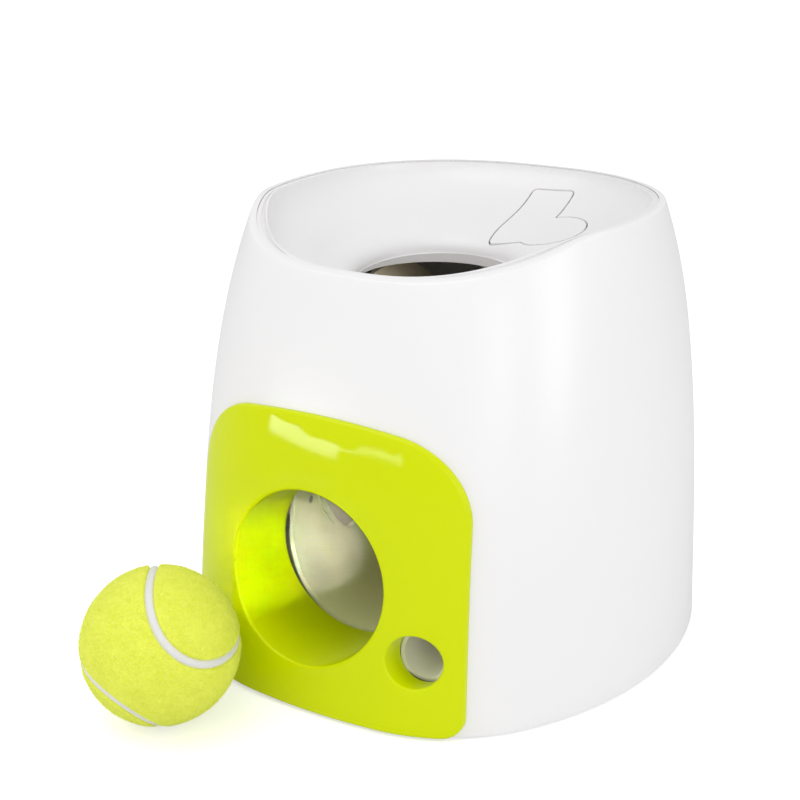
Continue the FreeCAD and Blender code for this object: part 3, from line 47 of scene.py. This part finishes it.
aim_height = 0.105
camera_distance = 0.660
camera_turn_degrees = 28.3
camera_rise_degrees = 19.5
look_aside = 2.35
look_down = 0.25
camera_turn = math.radians(camera_turn_degrees)
camera_rise = math.radians(camera_rise_degrees)
look_turn = math.radians(camera_turn_degrees + look_aside)
look_rise = math.radians(camera_rise_degrees + look_down)
camera_place = (
    camera_distance * math.sin(camera_turn) * math.cos(camera_rise),
    -camera_distance * math.cos(camera_turn) * math.cos(camera_rise),
    aim_height + camera_distance * math.sin(camera_rise),
)
bpy.ops.object.camera_add(location=camera_place,
                          rotation=(math.pi / 2 - look_rise, 0, look_turn))
camera = bpy.context.object
camera.data.sensor_width = 36
camera.data.lens = 63.5
camera.data.clip_start = 0.01
bpy.context.scene.camera = camera

# The studio: a white floor that only keeps a soft shadow, a white surround, large soft lamps
# overhead, at the right and in front, and a window and a slit that give the panel its highlight.
# Two gridded lamps send narrow beams into the ball exit.

surround_light = 0.71
surround_seen = 1.0
floor_glow = 0.50
bpy.context.scene.view_settings.view_transform = "Standard"
world = bpy.data.worlds.new("studio_surround")
bpy.context.scene.world = world
world.use_nodes = True
surround = world.node_tree.nodes
surround.clear()
seen = surround.new("ShaderNodeLightPath")
white_part = surround.new("ShaderNodeMath")
white_part.operation = "MAXIMUM"
world.node_tree.links.new(seen.outputs["Is Camera Ray"], white_part.inputs[0])
world.node_tree.links.new(seen.outputs["Is Transmission Ray"], white_part.inputs[1])
level = surround.new("ShaderNodeMapRange")
level.inputs["To Min"].default_value = surround_light
level.inputs["To Max"].default_value = surround_seen
world.node_tree.links.new(white_part.outputs[0], level.inputs["Value"])
glow = surround.new("ShaderNodeBackground")
glow.inputs["Color"].default_value = (1, 1, 1, 1)
world.node_tree.links.new(level.outputs[0], glow.inputs["Strength"])
sky = surround.new("ShaderNodeOutputWorld")
world.node_tree.links.new(glow.outputs[0], sky.inputs["Surface"])

bpy.ops.mesh.primitive_plane_add(size=40, location=(0, 0, 0))
floor = bpy.context.object
floor.name = "studio_floor"
floor_paint = bpy.data.materials.new("floor_paint")
floor_paint.use_nodes = True
paint = floor_paint.node_tree.nodes["Principled BSDF"]
paint.inputs["Base Color"].default_value = (0.80, 0.80, 0.80, 1)
paint.inputs["Roughness"].default_value = 0.9
paint.inputs["Emission Color"].default_value = (1, 1, 1, 1)
floor_seen = floor_paint.node_tree.nodes.new("ShaderNodeLightPath")
floor_lift = floor_paint.node_tree.nodes.new("ShaderNodeMapRange")
floor_lift.inputs["To Min"].default_value = 0.0
floor_lift.inputs["To Max"].default_value = floor_glow
floor_paint.node_tree.links.new(floor_seen.outputs["Is Camera Ray"], floor_lift.inputs["Value"])
floor_paint.node_tree.links.new(floor_lift.outputs[0], paint.inputs["Emission Strength"])
floor.data.materials.append(floor_paint)

for lamp_name, place, aim, width, length, power, spread in (
    ("overhead_lamp", (-0.3, -0.5, 1.3), (0, 0, 0.1), 1.1, 1.1, 5.2, 180),
    ("right_lamp", (1.3, -0.2, 0.5), (0, 0, 0.08), 0.5, 0.9, 3.6, 180),
    ("front_lamp", (0.85, -0.85, 0.35), (0, -0.1, 0.06), 0.4, 0.6, 1.1, 180),
    ("window_lamp", (-0.37, -0.585, 0.088), (0, -0.1, 0.12), 0.22, 0.040, 0.30, 180),
    ("window_slit", (-0.17, -0.665, 0.092), (0, -0.1, 0.12), 0.22, 0.010, 0.05, 180),
    ("exit_beam", (0.555, -0.600, 0.201), (-0.020, -0.118, 0.060), 0.026, 0.040, 0.0045, 2.0),
    ("chute_beam", (0.300, -0.760, 0.250), (-0.014, -0.110, 0.058), 0.020, 0.026, 0.0040, 2.0),
):
    lamp_data = bpy.data.lights.new(lamp_name, "AREA")
    lamp_data.shape = "RECTANGLE"
    lamp_data.size = width
    lamp_data.size_y = length
    lamp_data.energy = power
    lamp_data.spread = math.radians(spread)
    lamp = bpy.data.objects.new(lamp_name, lamp_data)
    bpy.context.scene.collection.objects.link(lamp)
    lamp.location = place
    lamp.rotation_euler = (Vector(aim) - Vector(place)).to_track_quat("-Z", "Y").to_euler()
    lamp.visible_camera = False

# Outer shell: one injection-moulded ABS cover, open at the top and at the foot, with a satin
# gloss. It drops over the base plate and is held from below by four screws.


def new_group(name, inputs, outputs):
    """An empty shader node group with named inputs and outputs."""
    tree = bpy.data.node_groups.new(name, "ShaderNodeTree")
    for label, kind, default in inputs:
        socket = tree.interface.new_socket(name=label, in_out="INPUT", socket_type=kind)
        socket.default_value = default
    for label, kind in outputs:
        tree.interface.new_socket(name=label, in_out="OUTPUT", socket_type=kind)
    return tree


def node(tree, kind, **settings):
    made = tree.nodes.new(kind)
    for key, setting in settings.items():
        setattr(made, key, setting)
    return made


def moulded_plastic_group():
    """The finish of a moulded part: a slow drift of tone, a fine grain, and faint hairlines."""
    tree = new_group(
        "moulded_plastic",
        (("Colour", "NodeSocketColor", (0.8, 0.8, 0.8, 1)),
         ("Deep Colour", "NodeSocketColor", (0.7, 0.7, 0.7, 1)),
         ("Roughness", "NodeSocketFloat", 0.3), ("Grain", "NodeSocketFloat", 0.3),
         ("Hairlines", "NodeSocketFloat", 0.3)),
        (("Colour", "NodeSocketColor"), ("Roughness", "NodeSocketFloat"),
         ("Height", "NodeSocketFloat")),
    )
    link = tree.links.new
    given = node(tree, "NodeGroupInput")
    result = node(tree, "NodeGroupOutput")
    where = node(tree, "ShaderNodeTexCoord")
    drift = node(tree, "ShaderNodeTexNoise")
    drift.inputs["Scale"].default_value = 9
    drift.inputs["Detail"].default_value = 3
    link(where.outputs["Object"], drift.inputs["Vector"])
    tone = node(tree, "ShaderNodeMix", data_type="RGBA")
    link(drift.outputs["Fac"], tone.inputs["Factor"])
    link(given.outputs["Colour"], tone.inputs["A"])
    link(given.outputs["Deep Colour"], tone.inputs["B"])
    grain = node(tree, "ShaderNodeTexNoise")
    grain.inputs["Scale"].default_value = 1400
    grain.inputs["Detail"].default_value = 2
    link(where.outputs["Object"], grain.inputs["Vector"])
    stretch = node(tree, "ShaderNodeMapping")
    stretch.inputs["Rotation"].default_value = (0.5, 0.3, 0.9)
    stretch.inputs["Scale"].default_value = (1400, 150, 700)
    link(where.outputs["Object"], stretch.inputs["Vector"])
    streak = node(tree, "ShaderNodeTexNoise")
    streak.inputs["Scale"].default_value = 1
    streak.inputs["Detail"].default_value = 1
    link(stretch.outputs["Vector"], streak.inputs["Vector"])
    line = node(tree, "ShaderNodeMapRange")
    line.inputs["From Min"].default_value = 0.66
    line.inputs["From Max"].default_value = 0.74
    link(streak.outputs["Fac"], line.inputs["Value"])
    line_part = node(tree, "ShaderNodeMath", operation="MULTIPLY")
    link(line.outputs["Result"], line_part.inputs[0])
    link(given.outputs["Hairlines"], line_part.inputs[1])
    grain_part = node(tree, "ShaderNodeMath", operation="MULTIPLY")
    link(grain.outputs["Fac"], grain_part.inputs[0])
    link(given.outputs["Grain"], grain_part.inputs[1])
    height = node(tree, "ShaderNodeMath", operation="SUBTRACT")
    link(grain_part.outputs[0], height.inputs[0])
    link(line_part.outputs[0], height.inputs[1])
    uneven = node(tree, "ShaderNodeMath", operation="MULTIPLY_ADD")
    link(drift.outputs["Fac"], uneven.inputs[0])
    uneven.inputs[1].default_value = 0.4
    uneven.inputs[2].default_value = 0.8
    dull = node(tree, "ShaderNodeMath", operation="MULTIPLY")
    link(uneven.outputs[0], dull.inputs[0])
    link(given.outputs["Roughness"], dull.inputs[1])
    rough = node(tree, "ShaderNodeMath", operation="MULTIPLY_ADD", use_clamp=True)
    link(line_part.outputs[0], rough.inputs[0])
    rough.inputs[1].default_value = 0.5
    link(dull.outputs[0], rough.inputs[2])
    link(tone.outputs["Result"], result.inputs["Colour"])
    link(rough.outputs[0], result.inputs["Roughness"])
    link(height.outputs[0], result.inputs["Height"])
    return tree


moulded_plastic = moulded_plastic_group()


def plastic(name, colour, deep, roughness, grain, hairlines, depth=0.00004, specular=0.5):
    """A moulded plastic of one colour and its deeper tone."""
    made = bpy.data.materials.new(name)
    made.use_nodes = True
    tree = made.node_tree
    shader = tree.nodes["Principled BSDF"]
    finish = node(tree, "ShaderNodeGroup", node_tree=moulded_plastic)
    finish.inputs["Colour"].default_value = (*colour, 1)
    finish.inputs["Deep Colour"].default_value = (*deep, 1)
    finish.inputs["Roughness"].default_value = roughness
    finish.inputs["Grain"].default_value = grain
    finish.inputs["Hairlines"].default_value = hairlines
    bump = node(tree, "ShaderNodeBump")
    bump.inputs["Distance"].default_value = depth
    tree.links.new(finish.outputs["Height"], bump.inputs["Height"])
    tree.links.new(finish.outputs["Colour"], shader.inputs["Base Color"])
    tree.links.new(finish.outputs["Roughness"], shader.inputs["Roughness"])
    tree.links.new(bump.outputs["Normal"], shader.inputs["Normal"])
    shader.inputs["Specular IOR Level"].default_value = specular
    return made


def dress(name, material):
    """Gives a carried-over solid its material."""
    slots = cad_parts[name].data.materials
    slots.clear()
    slots.append(material)


shell_plastic = plastic("shell_plastic", (0.88, 0.87, 0.875), (0.86, 0.85, 0.86), 0.30, 0.5, 0.06)


sharp_edge = 28
merge_distance = 0.00002


def smooth_copy(node_name, name, body, material):
    """A merged copy of a solid's loose triangles with smooth faces between its sharp edges."""
    bpy.ops.object.select_all(action="DESELECT")
    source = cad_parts[node_name]
    source.select_set(True)
    bpy.context.view_layer.objects.active = source
    bpy.ops.object.duplicate()
    piece = bpy.context.object
    for key in list(piece.keys()):
        del piece[key]
    piece.name = name
    piece.parent = None
    bpy.ops.object.mode_set(mode="EDIT")
    bpy.ops.mesh.select_all(action="SELECT")
    bpy.ops.mesh.remove_doubles(threshold=merge_distance)
    bpy.ops.mesh.customdata_custom_splitnormals_clear()
    bpy.ops.object.mode_set(mode="OBJECT")
    bpy.ops.object.shade_smooth_by_angle(angle=math.radians(sharp_edge))
    piece.data.materials.clear()
    piece.data.materials.append(material)
    piece.select_set(False)
    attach(piece, body)
    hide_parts(node_name)
    return piece


smooth_copy("outer_shell", "shell_cover", "housing", shell_plastic)

# Front panel: a high-gloss ABS moulding with two collared openings. Its four pins go through the
# shell and take screws from inside.

panel_plastic = plastic("panel_plastic", (0.665, 0.765, 0.0), (0.63, 0.735, 0.0), 0.05, 0.12,
                        0.06, specular=0.18)
smooth_copy("front_panel", "panel_face", "housing", panel_plastic)

# Bowl and lid: two satin ABS mouldings. The bowl's skirt stands on four ribs inside the shell, and
# the lid lies loose on the bowl's ledge over the treat hopper.

bowl_plastic = plastic("bowl_plastic", (0.86, 0.85, 0.855), (0.84, 0.83, 0.84), 0.30, 0.6, 0.15)
bowl_tray = smooth_copy("top_bowl", "bowl_tray", "housing", bowl_plastic)
smooth_copy("hopper_lid", "treat_lid", "lid", bowl_plastic)

# Rim web: where the bowl's wall and its skirt part under the rim, at the front corners and along
# the back, a thin web of the same moulding closes the gap between them.

web_turns = 480
web_start = 0.098
web_step = 0.0001
web_sink = 0.0003
web_grip = 0.0006
web_parts = 4
web_thickness = 0.0010
gap_drop = 0.0012
wall_walk = 160
gap_walk = 60
rim_lowest = 0.17
least_reach = 0.05
start_height = 0.3
from_above = BVHTree.FromObject(bowl_tray, bpy.context.evaluated_depsgraph_get())


def top_height(turn, reach):
    """How high the bowl stands at a place, seen from above."""
    place = Vector((reach * math.cos(turn), reach * math.sin(turn), start_height))
    hit = from_above.ray_cast(place, Vector((0, 0, -1)))[0]
    return hit.z if hit else 0


def rim_gap(turn):
    """The gap's outer and inner edge in one direction: reach and height of each, or nothing."""
    reach = web_start
    while top_height(turn, reach) < rim_lowest and reach > least_reach:
        reach -= web_step
    last = top_height(turn, reach)
    for count in range(wall_walk):
        reach -= web_step
        height = top_height(turn, reach)
        if height < last - gap_drop:
            break
        last = height
    else:
        return None
    outer = (reach + web_step, last)
    for count in range(gap_walk):
        reach -= web_step
        height = top_height(turn, reach)
        if height > outer[1] - gap_drop:
            return outer, (reach, height)
    return None


web_points = []
web_faces = []
web_rows = {}
for step in range(web_turns):
    turn = math.tau * step / web_turns
    edges = rim_gap(turn)
    if edges is None:
        continue
    web_rows[step] = len(web_points)
    (outer_reach, outer_height), (inner_reach, inner_height) = edges
    outer_reach += web_grip
    inner_reach -= web_grip
    for part in range(web_parts + 1):
        share = part / web_parts
        reach = outer_reach + (inner_reach - outer_reach) * share
        height = outer_height + (inner_height - outer_height) * share - web_sink
        web_points.append((reach * math.cos(turn), reach * math.sin(turn), height))
for step, first in web_rows.items():
    following = web_rows.get((step + 1) % web_turns)
    if following is not None:
        for part in range(web_parts):
            web_faces.append((first + part, following + part, following + part + 1,
                              first + part + 1))
web_mesh = bpy.data.meshes.new("rim_web")
web_mesh.from_pydata(web_points, [], web_faces)
rim_web = bpy.data.objects.new("rim_web", web_mesh)
bpy.context.scene.collection.objects.link(rim_web)
rim_web.select_set(True)
bpy.context.view_layer.objects.active = rim_web
bpy.ops.object.mode_set(mode="EDIT")
bpy.ops.mesh.select_all(action="SELECT")
bpy.ops.mesh.delete_loose()
bpy.ops.mesh.select_all(action="SELECT")
bpy.ops.mesh.vertices_smooth(factor=0.5, repeat=3)
bpy.ops.object.mode_set(mode="OBJECT")
web_wall = rim_web.modifiers.new("web_wall", "SOLIDIFY")
web_wall.thickness = web_thickness
web_wall.offset = -1
bpy.ops.object.modifier_apply(modifier="web_wall")
bpy.ops.object.shade_smooth_by_angle(angle=math.radians(40))
rim_web.data.materials.append(bowl_plastic)
rim_web.select_set(False)
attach(rim_web, "housing")

# Inner mouldings: chute, hopper, tube, drum housing, bracket and base plate in plain satin ABS.

chute_plastic = plastic("chute_plastic", (0.90, 0.88, 0.62), (0.87, 0.84, 0.58), 0.36, 0.8, 0.2)
smooth_copy("ball_chute", "chute_trough", "housing", chute_plastic)
inner_plastic = plastic("inner_plastic", (0.86, 0.84, 0.77), (0.83, 0.80, 0.73), 0.38, 0.8, 0.2)
for inner_name, inner_piece in (("treat_chute", "treat_tube"),
                                ("treat_hopper", "hopper_tray"),
                                ("drum_housing", "drum_shroud"),
                                ("bearing_bracket", "wheel_bracket"),
                                ("base_plate", "foot_plate")):
    smooth_copy(inner_name, inner_piece, "housing", inner_plastic)

# Ball wheel and treat drum: cream ABS mouldings on one steel axle, which turn together.

wheel_plastic = plastic("wheel_plastic", (0.74, 0.66, 0.50), (0.69, 0.61, 0.46), 0.36, 0.8, 0.2)
smooth_copy("ball_wheel", "vaned_wheel", "wheel", wheel_plastic)
smooth_copy("treat_drum", "scoop_drum", "wheel", wheel_plastic)

# Axle, clips, bushes and screws: ground steel rod with two spring clips, turned acetal bushes and
# zinc-plated self-tapping screws, all of them bought parts.


def metal(name, colour, deep, roughness, grain_scale):
    """A bare metal with a fine turned grain and a slow change of tone."""
    made = bpy.data.materials.new(name)
    made.use_nodes = True
    tree = made.node_tree
    link = tree.links.new
    shader = tree.nodes["Principled BSDF"]
    where = node(tree, "ShaderNodeTexCoord")
    fine = node(tree, "ShaderNodeTexNoise")
    fine.inputs["Scale"].default_value = grain_scale
    fine.inputs["Detail"].default_value = 4
    link(where.outputs["Object"], fine.inputs["Vector"])
    tone = node(tree, "ShaderNodeMix", data_type="RGBA")
    tone.inputs["A"].default_value = (*colour, 1)
    tone.inputs["B"].default_value = (*deep, 1)
    link(fine.outputs["Fac"], tone.inputs["Factor"])
    link(tone.outputs["Result"], shader.inputs["Base Color"])
    rough = node(tree, "ShaderNodeMapRange")
    rough.inputs["To Min"].default_value = roughness * 0.8
    rough.inputs["To Max"].default_value = roughness * 1.3
    link(fine.outputs["Fac"], rough.inputs["Value"])
    link(rough.outputs["Result"], shader.inputs["Roughness"])
    bump = node(tree, "ShaderNodeBump")
    bump.inputs["Distance"].default_value = 0.00002
    link(fine.outputs["Fac"], bump.inputs["Height"])
    link(bump.outputs["Normal"], shader.inputs["Normal"])
    shader.inputs["Metallic"].default_value = 1
    return made


axle_steel = metal("axle_steel", (0.62, 0.62, 0.63), (0.50, 0.50, 0.52), 0.22, 900)
dress("wheel_axle", axle_steel)
dress("axle_clips", axle_steel)
zinc = metal("zinc_plate", (0.66, 0.67, 0.70), (0.52, 0.54, 0.58), 0.34, 500)
for screw_node in ("panel_screws", "hopper_screws", "housing_screws", "bracket_screws"):
    dress(screw_node, zinc)
bush_acetal = plastic("bush_acetal", (0.82, 0.82, 0.79), (0.78, 0.78, 0.75), 0.45, 0.9, 0.1)
dress("axle_bushes", bush_acetal)

# Base and chute screws: eight pan-head screws with a cross recess, zinc-plated. They are driven
# up through the base plate, and their rings of thread grip the posts and bosses above it.

head_face = 0.0011
head_corner = 0.0024
turn_of_thread = [(0.0005, 1.22), (0.0005, 0.82)]
shank_only = 0.010
recess_length = 0.0038
recess_width = 0.0008
recess_depth = 0.0013
shank_steps = [(0.0002, 1.29), (0.0004, 1.13), (0.0006, 1.06), (0.0010, 1.0), (0.0, 0.38)]
shank_steps += turn_of_thread * 12 + [(0.0019, 0.3)]
bpy.ops.mesh.primitive_circle_add(vertices=36, radius=head_corner, fill_type="NGON",
                                  location=(0, 0, head_face))
screw = bpy.context.object
screw.name = "plate_screw"
bpy.ops.object.transform_apply(location=True)
bpy.ops.object.mode_set(mode="EDIT")
bpy.ops.mesh.select_all(action="SELECT")
for climb, widen in shank_steps:
    bpy.ops.mesh.extrude_region_move(TRANSFORM_OT_translate={"value": (0, 0, climb)})
    bpy.ops.transform.resize(value=(widen, widen, 1))
bpy.ops.mesh.select_all(action="SELECT")
bpy.ops.mesh.normals_make_consistent(inside=False)
bpy.ops.object.mode_set(mode="OBJECT")
for long_way, short_way in ((recess_length, recess_width), (recess_width, recess_length)):
    bpy.ops.mesh.primitive_cube_add(size=1, location=(0, 0, head_face),
                                    scale=(long_way, short_way, 2 * recess_depth))
    cutter = bpy.context.object
    bpy.context.view_layer.objects.active = screw
    recess = screw.modifiers.new("recess", "BOOLEAN")
    recess.object = cutter
    recess.solver = "EXACT"
    bpy.ops.object.modifier_apply(modifier="recess")
    bpy.data.objects.remove(cutter)


def screw_set(name, replaced, places, shorter):
    """Copies of the screw at their places, with a shank that is shorter by the given length."""
    copies = []
    for across, deep in places:
        bpy.ops.object.select_all(action="DESELECT")
        screw.select_set(True)
        bpy.context.view_layer.objects.active = screw
        bpy.ops.object.duplicate()
        copy = bpy.context.object
        for vertex in copy.data.vertices:
            if vertex.co.z > shank_only:
                vertex.co.z -= shorter
        copy.data.transform(Matrix.Translation((across, deep, 0)))
        copies.append(copy)
    bpy.ops.object.select_all(action="DESELECT")
    for copy in copies:
        copy.select_set(True)
    bpy.context.view_layer.objects.active = copies[0]
    bpy.ops.object.join()
    bpy.ops.object.shade_smooth_by_angle(angle=math.radians(35))
    joined = bpy.context.object
    joined.name = name
    joined.data.materials.append(zinc)
    joined.select_set(False)
    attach(joined, "housing")
    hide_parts(replaced)


screw_set("plate_screws", "base_screws",
          [(0.074 * across, 0.080 * deep) for across in (-1, 1) for deep in (-1, 1)], 0)
screw_set("post_screws", "chute_screws",
          [(across, deep) for across in (-0.0325, 0.0195) for deep in (-0.050, 0.060)], 0.002)
bpy.data.objects.remove(screw)

# Feet: four round pads of dark rubber, set into recesses of the base plate with a little room
# around them. Each has a rounded foot edge and a shallow sucker ring underneath.

rubber = plastic("pad_rubber", (0.030, 0.030, 0.031), (0.045, 0.045, 0.046), 0.75, 1.0, 0.1,
                 depth=0.0001)
dress("drum_wiper", rubber)
pad_radius = 0.0098
pad_height = 0.0027
pads_wide = 0.116
pads_long = 0.172
bpy.ops.mesh.primitive_cylinder_add(vertices=72, radius=pad_radius, depth=pad_height,
                                    location=(pads_wide / 2, -pads_long / 2, pad_height / 2))
foot = bpy.context.object
foot.name = "foot_pads"
bpy.ops.object.transform_apply(location=True)


def pick_faces(piece, chosen):
    """Selects, in edit mode, the faces for which chosen gives true, and no others."""
    mesh = bmesh.from_edit_mesh(piece.data)
    for face in mesh.faces:
        face.select = chosen(face)
    mesh.select_flush(False)
    bmesh.update_edit_mesh(piece.data)


bpy.ops.object.mode_set(mode="EDIT")
bpy.ops.mesh.select_mode(type="FACE")
pick_faces(foot, lambda face: face.normal.z < -0.9)
bpy.ops.mesh.inset(thickness=0.0022)
bpy.ops.mesh.inset(thickness=0.0012)
pick_faces(foot, lambda face: face.normal.z < -0.9 and len(face.verts) > 4)
bpy.ops.transform.translate(value=(0, 0, 0.0005))
bpy.ops.mesh.inset(thickness=0.0030)
bpy.ops.transform.translate(value=(0, 0, -0.0003))
bpy.ops.object.mode_set(mode="OBJECT")
round_off = foot.modifiers.new("round_off", "BEVEL")
round_off.width = 0.0004
round_off.segments = 3
round_off.limit_method = "ANGLE"
bpy.ops.object.modifier_apply(modifier="round_off")
bpy.ops.object.shade_smooth_by_angle(angle=math.radians(40))
pads = [foot]
for across, deep in ((-pads_wide, 0), (0, pads_long), (-pads_wide, pads_long)):
    bpy.ops.object.select_all(action="DESELECT")
    foot.select_set(True)
    bpy.context.view_layer.objects.active = foot
    bpy.ops.object.duplicate()
    pads.append(bpy.context.object)
    pads[-1].data.transform(Matrix.Translation((across, deep, 0)))
for pad in pads:
    pad.select_set(True)
bpy.context.view_layer.objects.active = foot
bpy.ops.object.join()
foot.data.materials.append(rubber)
foot.select_set(False)
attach(foot, "housing")
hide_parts("rubber_feet")

# Tennis ball: a hollow rubber core under two panels of woolly yellow felt. The pale seam between
# the panels is a bead of glue, and loose fibres stand up all over the felt.

ball_place = Vector((-0.052, -0.156, 0.0335))
ball_turn = Euler((math.radians(-87.5), math.radians(-3.6), math.radians(32.9))).to_matrix()
felt_radius = 0.0330
seam_half = 0.0019
shoulder = 0.0011
groove_depth = 0.0013
seam_turns = 720
bead_turns = 240
bead_radius = 0.0023
bead_depth = 0.0027


def seam_point(angle, radius):
    """The closed line that parts the ball's two felt panels."""
    wide = 0.75 * radius
    narrow = 0.25 * radius
    spot = Vector((wide * math.cos(angle) + narrow * math.cos(3 * angle),
                   wide * math.sin(angle) - narrow * math.sin(3 * angle),
                   2 * math.sqrt(wide * narrow) * math.sin(2 * angle)))
    return ball_place + ball_turn @ spot


seam_line = KDTree(seam_turns)
for step in range(seam_turns):
    seam_line.insert(seam_point(math.tau * step / seam_turns, felt_radius), step)
seam_line.balance()


def from_seam(point):
    """How far a point of the ball's surface lies from the middle of the seam."""
    outward = (point - ball_place).normalized() * felt_radius
    return seam_line.find(ball_place + outward)[2]


bpy.ops.mesh.primitive_ico_sphere_add(subdivisions=7, radius=felt_radius, location=ball_place)
felt = bpy.context.object
felt.name = "felt_cover"
bpy.ops.object.transform_apply(location=True)
bpy.ops.object.mode_set(mode="EDIT")
bpy.ops.mesh.select_mode(type="FACE")
pick_faces(felt, lambda face: from_seam(face.calc_center_median()) < seam_half + shoulder)
bpy.ops.mesh.subdivide(number_cuts=1)
bpy.ops.object.mode_set(mode="OBJECT")
for vertex in felt.data.vertices:
    outward = (vertex.co - ball_place).normalized()
    away = from_seam(vertex.co)
    rise = min(max((away - seam_half) / shoulder, 0), 1)
    rounded = math.sqrt(1 - (1 - rise) ** 2)
    lump = noise.noise(vertex.co * 420) * 0.00012 + noise.noise(vertex.co * 1300) * 0.00010
    radius = felt_radius - groove_depth * (1 - rounded) + lump * rise
    vertex.co = ball_place + outward * radius
bpy.ops.object.shade_smooth()


def felt_material(name, colour, deep, painted_tip_highlight):
    """Woolly felt: tufts of two tones, a painted highlight on the raised tips, painted shade in
    the hollows, a soft sheen.
    """
    made = bpy.data.materials.new(name)
    made.use_nodes = True
    tree = made.node_tree
    link = tree.links.new
    shader = tree.nodes["Principled BSDF"]
    where = node(tree, "ShaderNodeTexCoord")
    patch = node(tree, "ShaderNodeTexNoise")
    patch.inputs["Scale"].default_value = 130
    patch.inputs["Detail"].default_value = 5
    patch.inputs["Roughness"].default_value = 0.7
    link(where.outputs["Object"], patch.inputs["Vector"])
    tuft = node(tree, "ShaderNodeTexNoise")
    tuft.inputs["Scale"].default_value = 1500
    tuft.inputs["Detail"].default_value = 4
    tuft.inputs["Distortion"].default_value = 1.2
    link(where.outputs["Object"], tuft.inputs["Vector"])
    spread = node(tree, "ShaderNodeMapRange")
    spread.inputs["From Min"].default_value = 0.35
    spread.inputs["From Max"].default_value = 0.65
    link(patch.outputs["Fac"], spread.inputs["Value"])
    body = node(tree, "ShaderNodeMix", data_type="RGBA")
    body.inputs["A"].default_value = (*deep, 1)
    body.inputs["B"].default_value = (*colour, 1)
    link(spread.outputs["Result"], body.inputs["Factor"])
    # Painted light: where the tuft bump stands high the colour turns lighter, a painted highlight,
    # and the low hollows keep the darker colour, painted shade.
    painted_tip_light = node(tree, "ShaderNodeMapRange")
    painted_tip_light.inputs["From Min"].default_value = 0.45
    painted_tip_light.inputs["From Max"].default_value = 0.75
    link(tuft.outputs["Fac"], painted_tip_light.inputs["Value"])
    tip_lit_felt_colour = node(tree, "ShaderNodeMix", data_type="RGBA")
    tip_lit_felt_colour.inputs["B"].default_value = (*painted_tip_highlight, 1)
    link(painted_tip_light.outputs["Result"], tip_lit_felt_colour.inputs["Factor"])
    link(body.outputs["Result"], tip_lit_felt_colour.inputs["A"])
    link(tip_lit_felt_colour.outputs["Result"], shader.inputs["Base Color"])
    bump = node(tree, "ShaderNodeBump")
    bump.inputs["Distance"].default_value = 0.0005
    link(tuft.outputs["Fac"], bump.inputs["Height"])
    link(bump.outputs["Normal"], shader.inputs["Normal"])
    shader.inputs["Roughness"].default_value = 0.95
    shader.inputs["Specular IOR Level"].default_value = 0.15
    shader.inputs["Sheen Weight"].default_value = 0.15
    shader.inputs["Sheen Roughness"].default_value = 0.5
    shader.inputs["Sheen Tint"].default_value = (0.95, 1.0, 0.6, 1)
    return made


# The third colour is the painted highlight on the raised tuft tips.
wool = felt_material("ball_wool", (0.90, 0.96, 0.10), (0.80, 0.88, 0.06), (0.95, 1.0, 0.20))
felt.data.materials.append(wool)
felt.select_set(False)
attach(felt, "ball")
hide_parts("tennis_ball_felt")

seam_curve = bpy.data.curves.new("seam_bead", "CURVE")
seam_curve.dimensions = "3D"
seam_curve.bevel_depth = bead_radius
seam_curve.bevel_resolution = 4
bead_line = seam_curve.splines.new("POLY")
bead_line.points.add(bead_turns - 1)
bead_line.use_cyclic_u = True
for step, point in enumerate(bead_line.points):
    point.co = (*seam_point(math.tau * step / bead_turns, felt_radius - bead_depth), 1)
bead = bpy.data.objects.new("seam_bead", seam_curve)
bpy.context.scene.collection.objects.link(bead)
bead.select_set(True)
bpy.context.view_layer.objects.active = bead
bpy.ops.object.convert(target="MESH")
bead = bpy.context.object
bpy.ops.object.shade_smooth()
seam_glue = plastic("seam_glue", (0.78, 0.78, 0.79), (0.72, 0.72, 0.74), 0.6, 1.0, 0.2,
                    depth=0.0002)
bead.data.materials.append(seam_glue)
bead.select_set(False)
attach(bead, "ball")

fibre_count = 17000
seam_clear = 0.0006
floor_clear = 0.0003
root_depth = 0.0001
random.seed(6)
fibre_points = []
fibre_faces = []
while len(fibre_faces) < fibre_count * 3:
    out = Vector([random.gauss(0, 1) for axis in range(3)]).normalized()
    root = ball_place + out * felt_radius
    if from_seam(root) < seam_half + seam_clear:
        continue
    lean = out.cross(Vector([random.gauss(0, 1) for axis in range(3)])).normalized()
    across = out.cross(lean) * random.uniform(0.00004, 0.00007)
    reach = random.uniform(0.0004, 0.0011)
    height = random.uniform(0.00012, 0.00045)
    foot_place = root - out * root_depth
    knee = root + out * height + lean * reach * 0.5
    tip = root + out * height * random.uniform(0.5, 1.1) + lean * reach
    if tip.z < floor_clear:
        continue
    first = len(fibre_points)
    fibre_points += [foot_place - across, foot_place + across, knee - across, knee + across, tip]
    fibre_faces += [(first, first + 1, first + 3), (first, first + 3, first + 2),
                    (first + 2, first + 3, first + 4)]
fluff_mesh = bpy.data.meshes.new("felt_fluff")
fluff_mesh.from_pydata(fibre_points, [], fibre_faces)
fluff_mesh.materials.append(wool)
fluff = bpy.data.objects.new("felt_fluff", fluff_mesh)
bpy.context.scene.collection.objects.link(fluff)
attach(fluff, "ball")
dress("ball_core", rubber)
